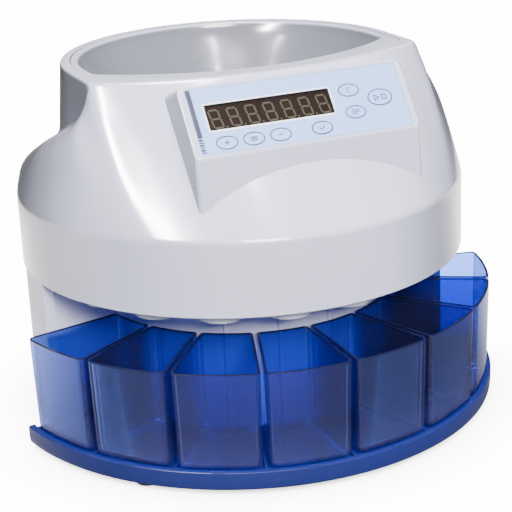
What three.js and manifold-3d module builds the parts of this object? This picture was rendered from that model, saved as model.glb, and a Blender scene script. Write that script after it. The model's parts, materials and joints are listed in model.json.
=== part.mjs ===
// Coin counting and sorting machine with eight lift-out cups.
// Millimetres, +Z up, the front faces -Y. The origin is on the floor, in the middle of the machine's
// width and depth. Every piece is drawn round the upright axis of the sorting disc, and the whole
// machine is then moved by axisY. Angles round that axis are in degrees, 0 at the front and growing
// towards +X.
import * as THREE from 'three';
import { mergeVertices } from 'three/addons/utils/BufferGeometryUtils.js';
import Module from 'manifold-3d';

const wasm = await Module();
wasm.setup();

// ---- driving dimensions ----
const gap = 0.3; // between neighbouring pieces
const wall = 2.6; // moulded shells

const rimHeight = 251.7;
const rimHalfWidth = 120.7;
const rimCornerY = -45.4;
const rimFrontY = -78.1;
const creaseHeight = 163;
const skirtBottom = 112.5;
const skirtRadius = 158.6;
const ridgeAngle = 42; // where the soft ridge meets the crease
const sideAngle = 80; // from here back the side is a plain cone
const sideLean = 15.6;
const towerDraft = 5;
const ledge = { height: 213, fall: 0.34, slope: 0.6, climb: 24, climbWidth: 1.3 };

const seam = { radius: 113.5, frontY: -76, frontRadius: 182 };
const opening = { radius: 108, frontY: -59, frontRadius: 165 };
const throat = { radius: 60, height: 166, bottom: 157 };

const panel = { y: -108.8, z: 232.6, tilt: 53.2, halfWidth: 79.4, halfHeight: 24.6 };
const consoleTip = { y: -126.1, z: 173.6 };
const overlay = { halfWidth: 74.2, halfHeight: 22.4, thickness: 0.5 };
const displayWindow = { left: -64.6, right: 22.2, bottom: -6.7, top: 10.9, thickness: 1.2 };

const cups = { count: 8, pitch: 19.66, outer: 178.5, inner: 108.8, space: 2.4, rim: 83.2, wall: 2 };
const cupRounding = { outer: 5, inner: 2.5 };
const cupBase = 15.2; // underside of a cup's body, above its foot
const cupDraft = { side: 0.85, outer: 1.4 };
const cupEdge = 5; // rounding round the underside
const tray = { outer: 180.4, inner: 106, bottom: 3, floor: 13, lip: 16, halfAngle: 80.5, edge: 3 };
const core = { radius: 104.5, backY: -16 };
const column = { outer: 157, stripX: 149.4, stripY: -20, frontAngle: 83.3, bottom: 5.8 };
const baseTop = 5.5;
const axisY = (tray.outer - skirtRadius) / 2;

const chute = { circle: 127.5, outer: 15.5, inner: 14, bottom: 103 };
const chassis = { bottom: skirtBottom, thickness: 2.5, inner: 101, outer: 154.4 };
const sortingPlate = { bottom: 140, top: 142, outer: 150, inner: 20, smallest: 16.5, step: 1.4 };
const rotorSize = { bottom: 143, top: 149, radius: 143, pockets: 12, pocketRadius: 14.2 };
const shaft = { radius: 6, bottom: 101, top: 152 };
const bearing = { radius: 11, height: 6, lower: 114.5, upper: 129 };
const pulley = { bottom: 103.5, top: 110.5, driven: 32, motor: 10, motorY: 62 };
const beltThickness = 1.2;

// ---- small tools ----
const radians = THREE.MathUtils.degToRad;
const turn = (angle) => radians(angle - 90); // angle round the machine to a THREE arc angle
const around = (radius, angle, z = 0) =>
  new THREE.Vector3(radius * Math.sin(radians(angle)), -radius * Math.cos(radians(angle)), z);

function toSolid(geometry) {
  const bare = new THREE.BufferGeometry();
  bare.setAttribute('position', geometry.getAttribute('position'));
  bare.setIndex(geometry.getIndex());
  const merged = mergeVertices(bare, 1e-4);
  const corners = Array.from(merged.getIndex().array);
  const kept = [];
  for (let i = 0; i < corners.length; i += 3) {
    const [a, b, c] = corners.slice(i, i + 3);
    if (a !== b && b !== c && c !== a) kept.push(a, b, c);
  }
  return new wasm.Manifold(new wasm.Mesh({
    numProp: 3,
    vertProperties: new Float32Array(merged.getAttribute('position').array),
    triVerts: new Uint32Array(kept),
  }));
}

function toGeometry(solid) {
  const mesh = solid.getMesh();
  const geometry = new THREE.BufferGeometry();
  geometry.setAttribute('position', new THREE.BufferAttribute(new Float32Array(mesh.vertProperties), 3));
  geometry.setIndex(new THREE.BufferAttribute(new Uint32Array(mesh.triVerts), 1));
  geometry.computeVertexNormals();
  return geometry;
}

function union(solids) {
  return solids.reduce((whole, solid) => whole.add(solid));
}

function extrude(shape, bottom, top, arcSteps = 12) {
  const settings = { depth: top - bottom, bevelEnabled: false, curveSegments: arcSteps };
  return toSolid(new THREE.ExtrudeGeometry(shape, settings).translate(0, 0, bottom));
}

// A closed skin over rings of points that lie above each other, each counter-clockwise from above.
function skin(rings) {
  const count = rings[0].length;
  const positions = rings.flat().flatMap((point) => [point.x, point.y, point.z]);
  const faces = [];
  for (let level = 0; level + 1 < rings.length; level += 1) {
    for (let i = 0; i < count; i += 1) {
      const next = (i + 1) % count;
      const low = level * count;
      const high = low + count;
      faces.push(low + i, low + next, high + next, low + i, high + next, high + i);
    }
  }
  const flat = (ring) => ring.map((point) => new THREE.Vector2(point.x, point.y));
  const top = (rings.length - 1) * count;
  for (const [a, b, c] of THREE.ShapeUtils.triangulateShape(flat(rings[0]), [])) faces.push(c, b, a);
  for (const [a, b, c] of THREE.ShapeUtils.triangulateShape(flat(rings.at(-1)), [])) {
    faces.push(top + a, top + b, top + c);
  }
  const geometry = new THREE.BufferGeometry();
  geometry.setAttribute('position', new THREE.Float32BufferAttribute(positions, 3));
  geometry.setIndex(faces);
  return toSolid(geometry);
}

function cylinder(radius, bottom, top, x = 0, y = 0, steps = 40) {
  const geometry = new THREE.CylinderGeometry(radius, radius, top - bottom, steps);
  geometry.rotateX(Math.PI / 2).translate(x, y, (bottom + top) / 2);
  return toSolid(geometry);
}

function box(left, right, front, back, bottom, top) {
  const geometry = new THREE.BoxGeometry(right - left, back - front, top - bottom);
  return toSolid(geometry.translate((left + right) / 2, (front + back) / 2, (bottom + top) / 2));
}

function tube(inner, outer, bottom, top, x = 0, y = 0, steps = 40) {
  return cylinder(outer, bottom, top, x, y, steps)
    .subtract(cylinder(inner, bottom - 1, top + 1, x, y, steps));
}

function sector(inner, outer, from, to) {
  const shape = new THREE.Shape();
  shape.absarc(0, 0, outer, turn(from), turn(to), false);
  shape.absarc(0, 0, inner, turn(to), turn(from), true);
  shape.closePath();
  return shape;
}

function turned(profile, steps = 40) {
  const points = profile.map(([radius, height]) => new THREE.Vector2(radius, height));
  return toSolid(new THREE.LatheGeometry(points, steps).rotateX(Math.PI / 2));
}

// A side outline in Y and Z, drawn across the width.
function acrossWidth(points, left, right) {
  const shape = new THREE.Shape(points.map(([y, z]) => new THREE.Vector2(y, z)));
  const geometry = new THREE.ExtrudeGeometry(shape, { depth: right - left, bevelEnabled: false });
  const toWorld = new THREE.Matrix4().makeBasis(
    new THREE.Vector3(0, 1, 0), new THREE.Vector3(0, 0, 1), new THREE.Vector3(1, 0, 0));
  return toSolid(geometry.applyMatrix4(toWorld).translate(left, 0, 0));
}

// The convex outline moved inwards by a distance.
function inset(points, distance) {
  const count = points.length;
  const edges = points.map(([x, y], i) => {
    const [nextX, nextY] = points[(i + 1) % count];
    const length = Math.hypot(nextX - x, nextY - y);
    const normal = [-(nextY - y) / length, (nextX - x) / length];
    return { normal, reach: normal[0] * x + normal[1] * y + distance };
  });
  return points.map((_, i) => {
    const a = edges[(i + count - 1) % count];
    const b = edges[i];
    const det = a.normal[0] * b.normal[1] - a.normal[1] * b.normal[0];
    return [
      (a.reach * b.normal[1] - a.normal[1] * b.reach) / det,
      (a.normal[0] * b.reach - a.reach * b.normal[0]) / det,
    ];
  });
}

// ---- upper housing ----
const rimCornerAngle = 90 + THREE.MathUtils.radToDeg(Math.atan2(rimCornerY, rimHalfWidth));
const rimFrontRadius = (rimHalfWidth ** 2 + (rimCornerY - rimFrontY) ** 2) / (2 * (rimCornerY - rimFrontY));

// Distance from the axis to a circle centred on the Y axis, in one direction.
function reach(angle, centreY, radius) {
  const c = Math.cos(radians(angle));
  const s = Math.sin(radians(angle));
  return -centreY * c + Math.sqrt(radius ** 2 - (centreY * s) ** 2);
}

function rimReach(angle, height) {
  const draft = (rimHeight - height) * Math.tan(radians(towerDraft));
  const side = Math.abs(angle);
  if (side <= rimCornerAngle) return reach(angle, rimFrontY + rimFrontRadius, rimFrontRadius);
  if (side <= 90) return (rimHalfWidth + draft) / Math.sin(radians(side));
  return rimHalfWidth + draft;
}

const ridgePoint = (t) => new THREE.Vector2().lerpVectors(
  new THREE.Vector2(skirtRadius * Math.sin(radians(ridgeAngle)), skirtRadius * Math.cos(radians(ridgeAngle))),
  new THREE.Vector2(rimHalfWidth, -rimCornerY), t);

// The front slope: at every level an arc from ridge to ridge.
function frontPoint(along, t, inward) {
  const end = ridgePoint(t);
  const middle = THREE.MathUtils.lerp(skirtRadius, -rimFrontY, t);
  const rise = middle - end.y;
  const radius = (end.x ** 2 + rise ** 2) / (2 * rise);
  const spread = Math.asin(end.x / radius) * along;
  const inner = radius - inward;
  const height = THREE.MathUtils.lerp(creaseHeight, rimHeight, t);
  return new THREE.Vector3(inner * Math.sin(spread), radius - middle - inner * Math.cos(spread), height);
}

function sideReach(blend, height) {
  const t = (height - creaseHeight) / (rimHeight - creaseHeight);
  const cone = skirtRadius - (height - creaseHeight) * Math.tan(radians(sideLean));
  return THREE.MathUtils.lerp(ridgePoint(t).length(), cone, THREE.MathUtils.smoothstep(blend, 0, 0.35));
}

// The ledge round the tower: it falls to the rear, and climbs to the rim at the front corners.
function shoulderHeight(angle) {
  const side = Math.abs(angle);
  const y = -rimReach(angle, 205) * Math.cos(radians(side));
  const fall = Math.max(ledge.height - ledge.fall * y, creaseHeight + 9);
  const climb = ledge.climb * Math.exp((rimCornerAngle - side) / ledge.climbWidth);
  return Math.min(fall + climb, rimHeight - 0.8);
}

// The ledge also leans outwards, more and more towards the rear.
function ledgeEdgeHeight(blend, angle) {
  const top = shoulderHeight(angle);
  const width = sideReach(blend, top) - rimReach(angle, top);
  const lean = ledge.slope * THREE.MathUtils.clamp((Math.abs(angle) - 65) / 35, 0, 1);
  return Math.max(top - lean * width, creaseHeight + 7);
}

function roundCorner(before, corner, after, tangent, steps) {
  const from = corner.clone().lerp(before, Math.min(tangent / corner.distanceTo(before), 0.5));
  const to = corner.clone().lerp(after, Math.min(tangent / corner.distanceTo(after), 0.5));
  return new THREE.QuadraticBezierCurve(from, corner, to).getPoints(steps);
}

const outerEdgeSteps = 3;
const innerEdgeSteps = 2;
const slopeSteps = outerEdgeSteps + innerEdgeSteps + 3;

// One line up the side of the shell, from the skirt's lower edge to the rim.
function sideLine({ creaseAngle, rimAngle, blend }, inward) {
  const top = rimHeight - inward;
  const ledgeHeight = shoulderHeight(rimAngle) - inward;
  const edgeHeight = ledgeEdgeHeight(blend, rimAngle);
  const corners = [
    new THREE.Vector2(skirtRadius - inward, creaseHeight - inward / 3),
    new THREE.Vector2(sideReach(blend, edgeHeight) - inward, edgeHeight - inward),
    new THREE.Vector2(rimReach(rimAngle, ledgeHeight) - inward, ledgeHeight),
    new THREE.Vector2(rimReach(rimAngle, rimHeight) - inward, top),
  ];
  const outerEdge = roundCorner(corners[0], corners[1], corners[2], 20, outerEdgeSteps);
  const innerEdge = roundCorner(corners[1], corners[2], corners[3], 5, innerEdgeSteps);
  const line = [corners[0], ...outerEdge, ...innerEdge, corners[3]];
  return line.map(({ x, y }) => {
    const t = THREE.MathUtils.clamp((y - creaseHeight) / (rimHeight - creaseHeight), 0, 1);
    const share = Math.min(t / 0.5, 1);
    const angle = blend < 1 ? THREE.MathUtils.lerp(creaseAngle, rimAngle, share) : rimAngle;
    return around(x, angle, y);
  });
}

function frontLine(along, inward) {
  const line = [];
  for (let step = 0; step <= slopeSteps; step += 1) {
    const point = frontPoint(along, step / slopeSteps, inward * 1.3);
    point.z = Math.min(point.z, rimHeight - inward);
    line.push(point);
  }
  return line;
}

function shellSkin(inward, bottom) {
  const lines = [];
  const frontCount = 10;
  const cornerCount = 4;
  const backCount = 18;
  for (let i = 0; i <= frontCount; i += 1) lines.push(frontLine((2 * i) / frontCount - 1, inward));
  for (let i = 1; i <= cornerCount; i += 1) {
    const blend = i / cornerCount;
    const creaseAngle = THREE.MathUtils.lerp(ridgeAngle, sideAngle, blend);
    const rimAngle = THREE.MathUtils.lerp(rimCornerAngle, sideAngle, blend);
    lines.push(sideLine({ creaseAngle, rimAngle, blend }, inward));
  }
  for (let i = 1; i <= backCount; i += 1) {
    const angle = THREE.MathUtils.lerp(sideAngle, 360 - sideAngle, i / backCount);
    const mirrored = angle > 180 ? angle - 360 : angle;
    lines.push(sideLine({ creaseAngle: mirrored, rimAngle: mirrored, blend: 1 }, inward));
  }
  for (let i = cornerCount - 1; i >= 1; i -= 1) {
    const blend = i / cornerCount;
    const creaseAngle = -THREE.MathUtils.lerp(ridgeAngle, sideAngle, blend);
    const rimAngle = -THREE.MathUtils.lerp(rimCornerAngle, sideAngle, blend);
    lines.push(sideLine({ creaseAngle, rimAngle, blend }, inward));
  }
  const rings = [lines.map((line) => new THREE.Vector3(line[0].x, line[0].y, bottom))];
  for (let level = 0; level < lines[0].length; level += 1) rings.push(lines.map((line) => line[level]));
  return skin(rings);
}

// The outline of the bowl and of its opening: a circle with its front cut off by a flatter arc.
function bowlOutline({ radius, frontY, frontRadius }, count = 36) {
  const points = [];
  for (let i = 0; i < count; i += 1) {
    const angle = -180 + (360 * i) / count;
    const front = Math.abs(angle) < 90 ? reach(angle, frontY + frontRadius, frontRadius) : radius;
    const side = Math.abs(angle) < 90 ? radius / Math.max(Math.sin(radians(Math.abs(angle))), 0.6) : radius;
    points.push(around(Math.min(front, side), angle));
  }
  return points;
}

const flatShape = (points) => new THREE.Shape(points.map(({ x, y }) => new THREE.Vector2(x, y)));

const panelFrame = new THREE.Matrix4()
  .makeRotationX(radians(panel.tilt))
  .setPosition(0, panel.y, panel.z);

// A solid drawn on the panel: x to the right, y up the panel, z out of it.
function onPanel(solid) {
  return solid.transform(panelFrame.elements);
}

function consoleOutline() {
  const tilt = radians(panel.tilt);
  const top = [panel.y + panel.halfHeight * Math.cos(tilt), panel.z + panel.halfHeight * Math.sin(tilt)];
  const bottom = [panel.y - panel.halfHeight * Math.cos(tilt), panel.z - panel.halfHeight * Math.sin(tilt)];
  return [[-60, 240.4], top, bottom, [consoleTip.y, consoleTip.z], [-60, 150]];
}

const keys = [
  { name: 'key_plus', x: -56.1, y: -15.9 },
  { name: 'key_batch', x: -37.7, y: -15.9 },
  { name: 'key_minus', x: -19.3, y: -15.9 },
  { name: 'key_set', x: 10, y: -15.6 },
  { name: 'key_clear', x: 36.1, y: 7.4 },
  { name: 'key_report', x: 36.5, y: -8.3 },
  { name: 'key_start_stop', x: 56.6, y: -0.5, rx: 9.1, ry: 6.1 },
].map((key) => ({ rx: 7.6, ry: 4.75, ...key }));

function keyShape({ x, y, rx, ry }, extra) {
  return new THREE.Shape().absellipse(x, y, rx + extra, ry + extra, 0, 2 * Math.PI, false, 0);
}

function windowShape(extra) {
  const { left, right, bottom, top } = displayWindow;
  return new THREE.Shape([
    new THREE.Vector2(left - extra, bottom - extra), new THREE.Vector2(right + extra, bottom - extra),
    new THREE.Vector2(right + extra, top + extra), new THREE.Vector2(left - extra, top + extra),
  ]);
}

function upperHousing() {
  const outline = consoleOutline();
  const outside = shellSkin(0, skirtBottom)
    .add(acrossWidth(outline, -panel.halfWidth, panel.halfWidth));
  const inside = shellSkin(wall, skirtBottom - 1)
    .add(acrossWidth(inset(outline, wall), -panel.halfWidth + wall, panel.halfWidth - wall));
  const seamHole = { ...seam, radius: seam.radius + gap, frontY: seam.frontY - gap };
  const recess = box(-overlay.halfWidth - gap, overlay.halfWidth + gap,
    -overlay.halfHeight - gap, overlay.halfHeight + gap, -overlay.thickness - 0.1, 5);
  const keyHoles = keys.map((key) => extrude(keyShape(key, gap), -8, 5, 6));
  return outside
    .subtract(inside)
    .subtract(extrude(flatShape(bowlOutline(seamHole)), 244, 260))
    .subtract(onPanel(union([recess, extrude(windowShape(gap), -8, 5), ...keyHoles])));
}

// ---- hopper bowl ----
function funnelRings(outward, drop) {
  const top = bowlOutline(opening);
  const levels = [0, 0.15, 0.4, 0.7, 1];
  const rings = levels.map((level) => {
    const share = Math.sin((level * Math.PI) / 2) ** 1.25;
    const height = THREE.MathUtils.lerp(rimHeight, throat.height, level) - drop;
    return top.map((point) => {
      const rim = Math.hypot(point.x, point.y);
      const radius = THREE.MathUtils.lerp(rim, throat.radius, share) + outward;
      return new THREE.Vector3((point.x * radius) / rim, (point.y * radius) / rim, height);
    });
  });
  const lowest = rings.at(-1).map((point) => new THREE.Vector3(point.x, point.y, throat.bottom - drop));
  return [...rings, lowest].reverse();
}

function hopperBowl() {
  const lip = extrude(flatShape(bowlOutline(seam)), rimHeight - 2.3, rimHeight - 0.1);
  const outside = skin(funnelRings(2.4, 0.4).map((ring, i) => (
    i === 0 ? ring.map((point) => point.clone().setZ(throat.bottom)) : ring)));
  const bowlInside = funnelRings(0, 0);
  const above = bowlInside.at(-1).map((point) => point.clone().setZ(rimHeight + 2));
  const below = bowlInside[0].map((point) => point.clone().setZ(throat.bottom - 2));
  return lip.add(outside).subtract(skin([below, ...bowlInside.slice(1), above]));
}

// ---- lower housing, base and tray ----
// The core's round front, the straight walls beside it and the column's round back.
// Only the outer outline has the narrow strips that face forward at both ends of the column.
function columnShape(inward) {
  const shape = new THREE.Shape();
  const outer = column.outer - inward;
  const coreRadius = core.radius - inward;
  const backY = core.backY + inward;
  const angleAt = (radius) => THREE.MathUtils.radToDeg(Math.acos(-backY / radius));
  const frontAngle = inward > 0 ? angleAt(outer) : column.frontAngle;
  const strip = [[column.stripX, backY], [column.stripX, column.stripY]];
  shape.absarc(0, 0, coreRadius, turn(-angleAt(coreRadius)), turn(angleAt(coreRadius)), false);
  if (inward === 0) strip.forEach(([x, y]) => shape.lineTo(x, y));
  shape.absarc(0, 0, outer, turn(frontAngle), turn(360 - frontAngle), false);
  if (inward === 0) [...strip].reverse().forEach(([x, y]) => shape.lineTo(-x, y));
  shape.closePath();
  return shape;
}

const footPlaces = [
  { name: 'foot_front_left', radius: 169, angle: -46.6 },
  { name: 'foot_front_right', radius: 169, angle: 46.6 },
  { name: 'foot_rear_left', radius: 140, angle: -140 },
  { name: 'foot_rear_right', radius: 140, angle: 140 },
];
const baseScrewAngles = [-150, -100, 100, 150];
const baseScrewRadius = 149;
const screwHole = 2.2;

const sockets = { y: 149, bottom: 22, top: 58, halfWidth: 42, switchX: 22, inletX: -14, z: 40 };
const inletHalf = { x: 14, z: 10 }; // half sizes of the holes for the inlet and the switch
const switchHalf = { x: 7.4, z: 11 };

function lowerHousing() {
  const { y, bottom, top, halfWidth } = sockets;
  const outside = extrude(columnShape(0), column.bottom, skirtBottom - gap, 12);
  const beyond = column.outer + 13;
  const panelBlock = box(-halfWidth - wall, halfWidth + wall, y - wall, beyond, bottom - wall, top + wall)
    .intersect(outside);
  const pocket = box(-halfWidth, halfWidth, y, beyond, bottom, top);
  const hole = (middle, half) => box(
    middle - half.x, middle + half.x, y - 9, y + 3, sockets.z - half.z, sockets.z + half.z);
  const inletHole = hole(sockets.inletX, inletHalf);
  const switchHole = hole(sockets.switchX, switchHalf);
  const screwPlaces = baseScrewAngles.map((angle) => around(baseScrewRadius, angle));
  const bosses = screwPlaces.map((place) => (
    cylinder(6.5, column.bottom, 18, place.x, place.y, 16).intersect(outside)));
  const bossHoles = screwPlaces.map((place) => (
    cylinder(screwHole, column.bottom - 1, 16, place.x, place.y, 12)));
  return outside
    .subtract(extrude(columnShape(wall), column.bottom - 1, skirtBottom + 1, 12))
    .add(union([panelBlock, ...bosses]))
    .subtract(union(bossHoles))
    .subtract(pocket)
    .subtract(inletHole)
    .subtract(switchHole);
}

function basePlate() {
  const holes = baseScrewAngles.map((angle) => {
    const place = around(baseScrewRadius, angle);
    return cylinder(screwHole, 0, 10, place.x, place.y, 12);
  });
  return extrude(columnShape(0), tray.bottom, baseTop, 12).subtract(union(holes));
}

function cupTray() {
  const { outer, inner, bottom, floor, lip, halfAngle, edge } = tray;
  const body = extrude(sector(inner, outer, -halfAngle, halfAngle), bottom, floor, 12);
  const rim = extrude(sector(outer - edge, outer, -halfAngle, halfAngle), floor - 1, lip, 12);
  const pocketShape = sector(inner + edge, outer - edge, -halfAngle + 1.5, halfAngle - 1.5);
  const pocket = extrude(pocketShape, bottom - 1, floor - 2.5, 12);
  const details = [];
  for (let i = 0; i <= cups.count; i += 1) {
    const angle = (i - cups.count / 2) * cups.pitch;
    const rib = box(-1, 1, -outer + 1, -inner - 2, floor - 1, lip);
    details.push(rib.rotate([0, 0, angle]));
  }
  for (let i = 0; i < cups.count; i += 1) {
    const nub = box(-4.5, 4.5, -outer + 0.2, -outer + 2.2, lip - 1, lip + 1);
    details.push(nub.rotate([0, 0, cupAngle(i)]));
  }
  const bosses = footPlaces.slice(0, 2).map(({ radius, angle }) => {
    const place = around(radius, angle);
    return cylinder(9.5, bottom, floor - 1, place.x, place.y, 12);
  });
  const bounds = extrude(sector(inner, outer, -halfAngle, halfAngle), bottom - 1, lip + 5, 12);
  return union([body.subtract(pocket), rim, ...details, ...bosses]).intersect(bounds);
}

// ---- coin cups ----
const cupAngle = (index) => (index - (cups.count - 1) / 2) * cups.pitch;

// Outline of a cup that points to the front, moved inwards all round, with rounded corners.
function cupOutline(inward, z, roundOuter, roundInner) {
  const below = (cups.rim - z) / (cups.rim - cupBase);
  const outer = cups.outer - inward - cupDraft.outer * below;
  const inner = cups.inner + inward;
  const half = cups.pitch / 2;
  const offset = cups.space / 2 + inward + cupDraft.side * below;
  const outerTurn = half - THREE.MathUtils.radToDeg(Math.asin((offset + roundOuter) / (outer - roundOuter)));
  const innerTurn = half - THREE.MathUtils.radToDeg(Math.asin((offset + roundInner) / (inner + roundInner)));
  const shape = new THREE.Shape();
  const corner = (distance, angle, round, from, to) => {
    const centre = around(distance, angle);
    shape.absarc(centre.x, centre.y, round, radians(from), radians(to), false);
  };
  shape.absarc(0, 0, outer, turn(-outerTurn), turn(outerTurn), false);
  corner(outer - roundOuter, outerTurn, roundOuter, outerTurn - 90, half);
  corner(inner + roundInner, innerTurn, roundInner, half, innerTurn + 90);
  shape.absarc(0, 0, inner, turn(innerTurn), turn(-innerTurn), true);
  corner(inner + roundInner, -innerTurn, roundInner, 90 - innerTurn, 180 - half);
  corner(outer - roundOuter, -outerTurn, roundOuter, 180 - half, 270 - outerTurn);
  return shape.getPoints(1).slice(0, -1).map((point) => new THREE.Vector3(point.x, point.y, z));
}

function coinCup(index) {
  const ring = (inward, z) => cupOutline(
    inward, z, Math.max(cupRounding.outer - inward, 2), Math.max(cupRounding.inner - inward, 1));
  const foot = [ring(7, tray.floor + gap), ring(7, cupBase)];
  const underside = [0, 45, 90].map((angle) => {
    const inward = cupEdge * (1 - Math.sin(radians(angle)));
    return ring(inward, cupBase + cupEdge * (1 - Math.cos(radians(angle))));
  });
  const outside = skin([...foot, ...underside, ring(0, cups.rim)]);
  const hollow = skin([
    ring(cupEdge, cupBase + cups.wall), ring(cups.wall, cupBase + 5), ring(cups.wall, cups.rim + 5)]);
  return outside.subtract(hollow).rotate([0, 0, cupAngle(index)]);
}

// ---- sorting works ----
const chuteAngles = Array.from({ length: cups.count }, (_, i) => cupAngle(i));
const postAngles = [110, 180, 250]; // posts that carry the sorting plate where there are no chutes

function chuteBlock() {
  const plateTop = chassis.bottom + chassis.thickness;
  const tubesTop = sortingPlate.bottom - gap;
  const ring = tube(chassis.inner, chassis.outer, chassis.bottom, plateTop, 0, 0, 48);
  const places = chuteAngles.map((angle) => around(chute.circle, angle));
  const tubes = places.map(({ x, y }) => cylinder(chute.outer, chute.bottom, tubesTop, x, y, 12));
  const bores = places.map(({ x, y }) => cylinder(chute.inner, chute.bottom - 1, tubesTop + 1, x, y, 12));
  const posts = postAngles.map((angle) => {
    const { x, y } = around(chute.circle, angle);
    return cylinder(6, chassis.bottom, tubesTop, x, y, 10);
  });
  return union([ring, ...tubes, ...posts]).subtract(union(bores));
}

function sortingRing() {
  const { bottom, top, outer, inner, smallest, step } = sortingPlate;
  const slots = chuteAngles.map((angle, i) => {
    const half = (smallest + step * i) / 2;
    const spread = THREE.MathUtils.radToDeg(half / chute.circle);
    const shape = sector(chute.circle - half, chute.circle + half, angle - spread, angle + spread);
    return extrude(shape, bottom - 1, top + 1, 1);
  });
  return tube(inner, outer, bottom, top, 0, 0, 48).subtract(union(slots));
}

function rotorDisc() {
  const { bottom, top, radius, pockets, pocketRadius } = rotorSize;
  const holes = Array.from({ length: pockets }, (_, i) => {
    const { x, y } = around(chute.circle, (360 * i) / pockets);
    return cylinder(pocketRadius, bottom - 1, top + 1, x, y, 10);
  });
  return tube(shaft.radius + 0.2, radius, bottom, top, 0, 0, 48).subtract(union(holes));
}

function feedDisc() {
  const low = rotorSize.top + gap;
  const bore = shaft.radius + 0.2;
  return turned([[bore, low], [56, low], [56, low + 1.5], [20, low + 5], [bore, low + 6], [bore, low]], 32);
}

function bearingHousing() {
  const flange = tube(bearing.radius + 0.2, 34, 136.4, sortingPlate.bottom - gap, 0, 0, 24);
  const barrel = tube(bearing.radius + 0.2, 15, 114, 137, 0, 0, 24);
  const web = tube(9, 13, 122, 127, 0, 0, 24);
  return union([flange, barrel, web]);
}

function flangedPulley(radius, bore) {
  const { bottom, top } = pulley;
  return turned([
    [bore, bottom], [radius + 2, bottom], [radius + 2, bottom + 1], [radius, bottom + 1.2],
    [radius, top - 1.2], [radius + 2, top - 1], [radius + 2, top], [bore, top], [bore, bottom],
  ], 20);
}

function motorPulley() {
  const { top, motor, motorY } = pulley;
  const stub = cylinder(3, 96, top + 1.5, 0, 0, 16);
  return flangedPulley(motor, 2.5).add(stub).translate([0, motorY, 0]);
}

function beltShape(extra) {
  const large = pulley.driven + extra;
  const small = pulley.motor + extra;
  const lean = Math.acos((large - small) / pulley.motorY);
  const shape = new THREE.Shape();
  shape.absarc(0, 0, large, Math.PI / 2 + lean, Math.PI / 2 - lean + 2 * Math.PI, false);
  shape.absarc(0, pulley.motorY, small, Math.PI / 2 - lean, Math.PI / 2 + lean, false);
  shape.closePath();
  return shape;
}

function driveBelt() {
  const low = pulley.bottom + 1.5;
  const high = pulley.top - 1.5;
  const outer = extrude(beltShape(0.8 + beltThickness), low, high, 6);
  return outer.subtract(extrude(beltShape(0.8), low - 1, high + 1, 6));
}

function gearMotor() {
  const { motorY } = pulley;
  const can = cylinder(21, 46, 84, 0, motorY, 20);
  const gearbox = cylinder(24, 83, 99, 0, motorY, 20);
  const nose = cylinder(7, 98, 101.5, 0, motorY, 16);
  const cap = cylinder(6, 42, 47, 0, motorY, 16);
  return union([can, gearbox, nose, cap]).subtract(cylinder(3.2, 94, 103, 0, motorY, 16));
}

function motorBracket() {
  const { motorY } = pulley;
  const plate = box(-36, 36, motorY - 26, motorY + 26, 99.3, 101.3);
  const legs = [-36, 33.5].map((x) => box(x, x + 2.5, motorY - 20, motorY + 20, baseTop + gap, 101));
  const standing = baseTop + gap;
  const feet = [-50, 35].map((x) => box(x, x + 15, motorY - 20, motorY + 20, standing, standing + 2));
  return union([plate, ...legs, ...feet]).subtract(cylinder(7.4, 98, 103, 0, motorY, 16));
}

// ---- electrics ----
const boardThickness = 1.6;

function sensorBoard() {
  const bottom = chassis.bottom + chassis.thickness + 1;
  const holes = chuteAngles.map((angle) => {
    const { x, y } = around(chute.circle, angle);
    return cylinder(chute.outer + 0.9, bottom - 1, bottom + 3, x, y, 10);
  });
  const board = extrude(sector(106, 149, -79, 79), bottom, bottom + boardThickness, 12);
  const connector = box(-9, 9, -147, -142, bottom + 1, bottom + 7);
  return board.subtract(union(holes)).add(connector);
}

// An upright board in the column, with its parts on the front side.
const mainBoardY = 112;

function mainBoard() {
  const y = mainBoardY;
  const board = box(-62, 62, y, y + boardThickness, 24, 96);
  const heatSink = box(-50, -22, y - 14, y + 0.5, 62, 90);
  const fins = [-46, -40, -34, -28].map((x) => box(x, x + 3, y - 20, y - 4, 62, 90));
  const chip = box(2, 24, y - 3, y + 0.5, 50, 72);
  const header = box(-12, 16, y - 8, y + 0.5, 30, 38);
  const cans = [36, 50].map((x) => (
    toSolid(new THREE.CylinderGeometry(5, 5, 20, 16).translate(x, y - 9.5, 76))));
  return union([board, heatSink, ...fins, chip, header, ...cans]);
}

// A small transformer: laminations, a winding through them, and a flange that stands on the base.
function powerSupply() {
  const low = baseTop + gap;
  const laminations = box(-34, 34, -40, 14, low, low + 46);
  const winding = box(-24, 24, -54, 28, low + 8, low + 38);
  const flanges = box(-44, 44, -34, 8, low, low + 2.5);
  return union([laminations, winding, flanges]);
}

function mainsInlet() {
  const { inletX, y, z } = sockets;
  const body = box(inletX - 13.6, inletX + 13.6, 126, y + 1, z - 9.7, z + 9.7);
  const flange = box(inletX - 17, inletX + 17, y + gap, y + 3, z - 13, z + 13);
  const socket = box(inletX - 11.5, inletX + 11.5, 134, y + 6, z - 7.5, z + 7.5);
  const pins = [[-7, -1.5], [0, 2], [7, -1.5]].map(([x, up]) => (
    box(inletX + x - 1, inletX + x + 1, 133, y, z + up - 2, z + up + 2)));
  return body.add(flange).subtract(socket).add(union(pins));
}

function switchBody() {
  const { switchX, y, z } = sockets;
  const body = box(switchX - 7, switchX + 7, 130, y + 1, z - 10.6, z + 10.6);
  const flange = box(switchX - 9, switchX + 9, y + gap, y + 2.6, z - 13, z + 13);
  const well = box(switchX - 5.8, switchX + 5.8, 137, y + 6, z - 9.4, z + 9.4);
  return body.add(flange).subtract(well);
}

const rocker = { halfHeight: 8.8, tilt: 8, depth: 5 };

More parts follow.
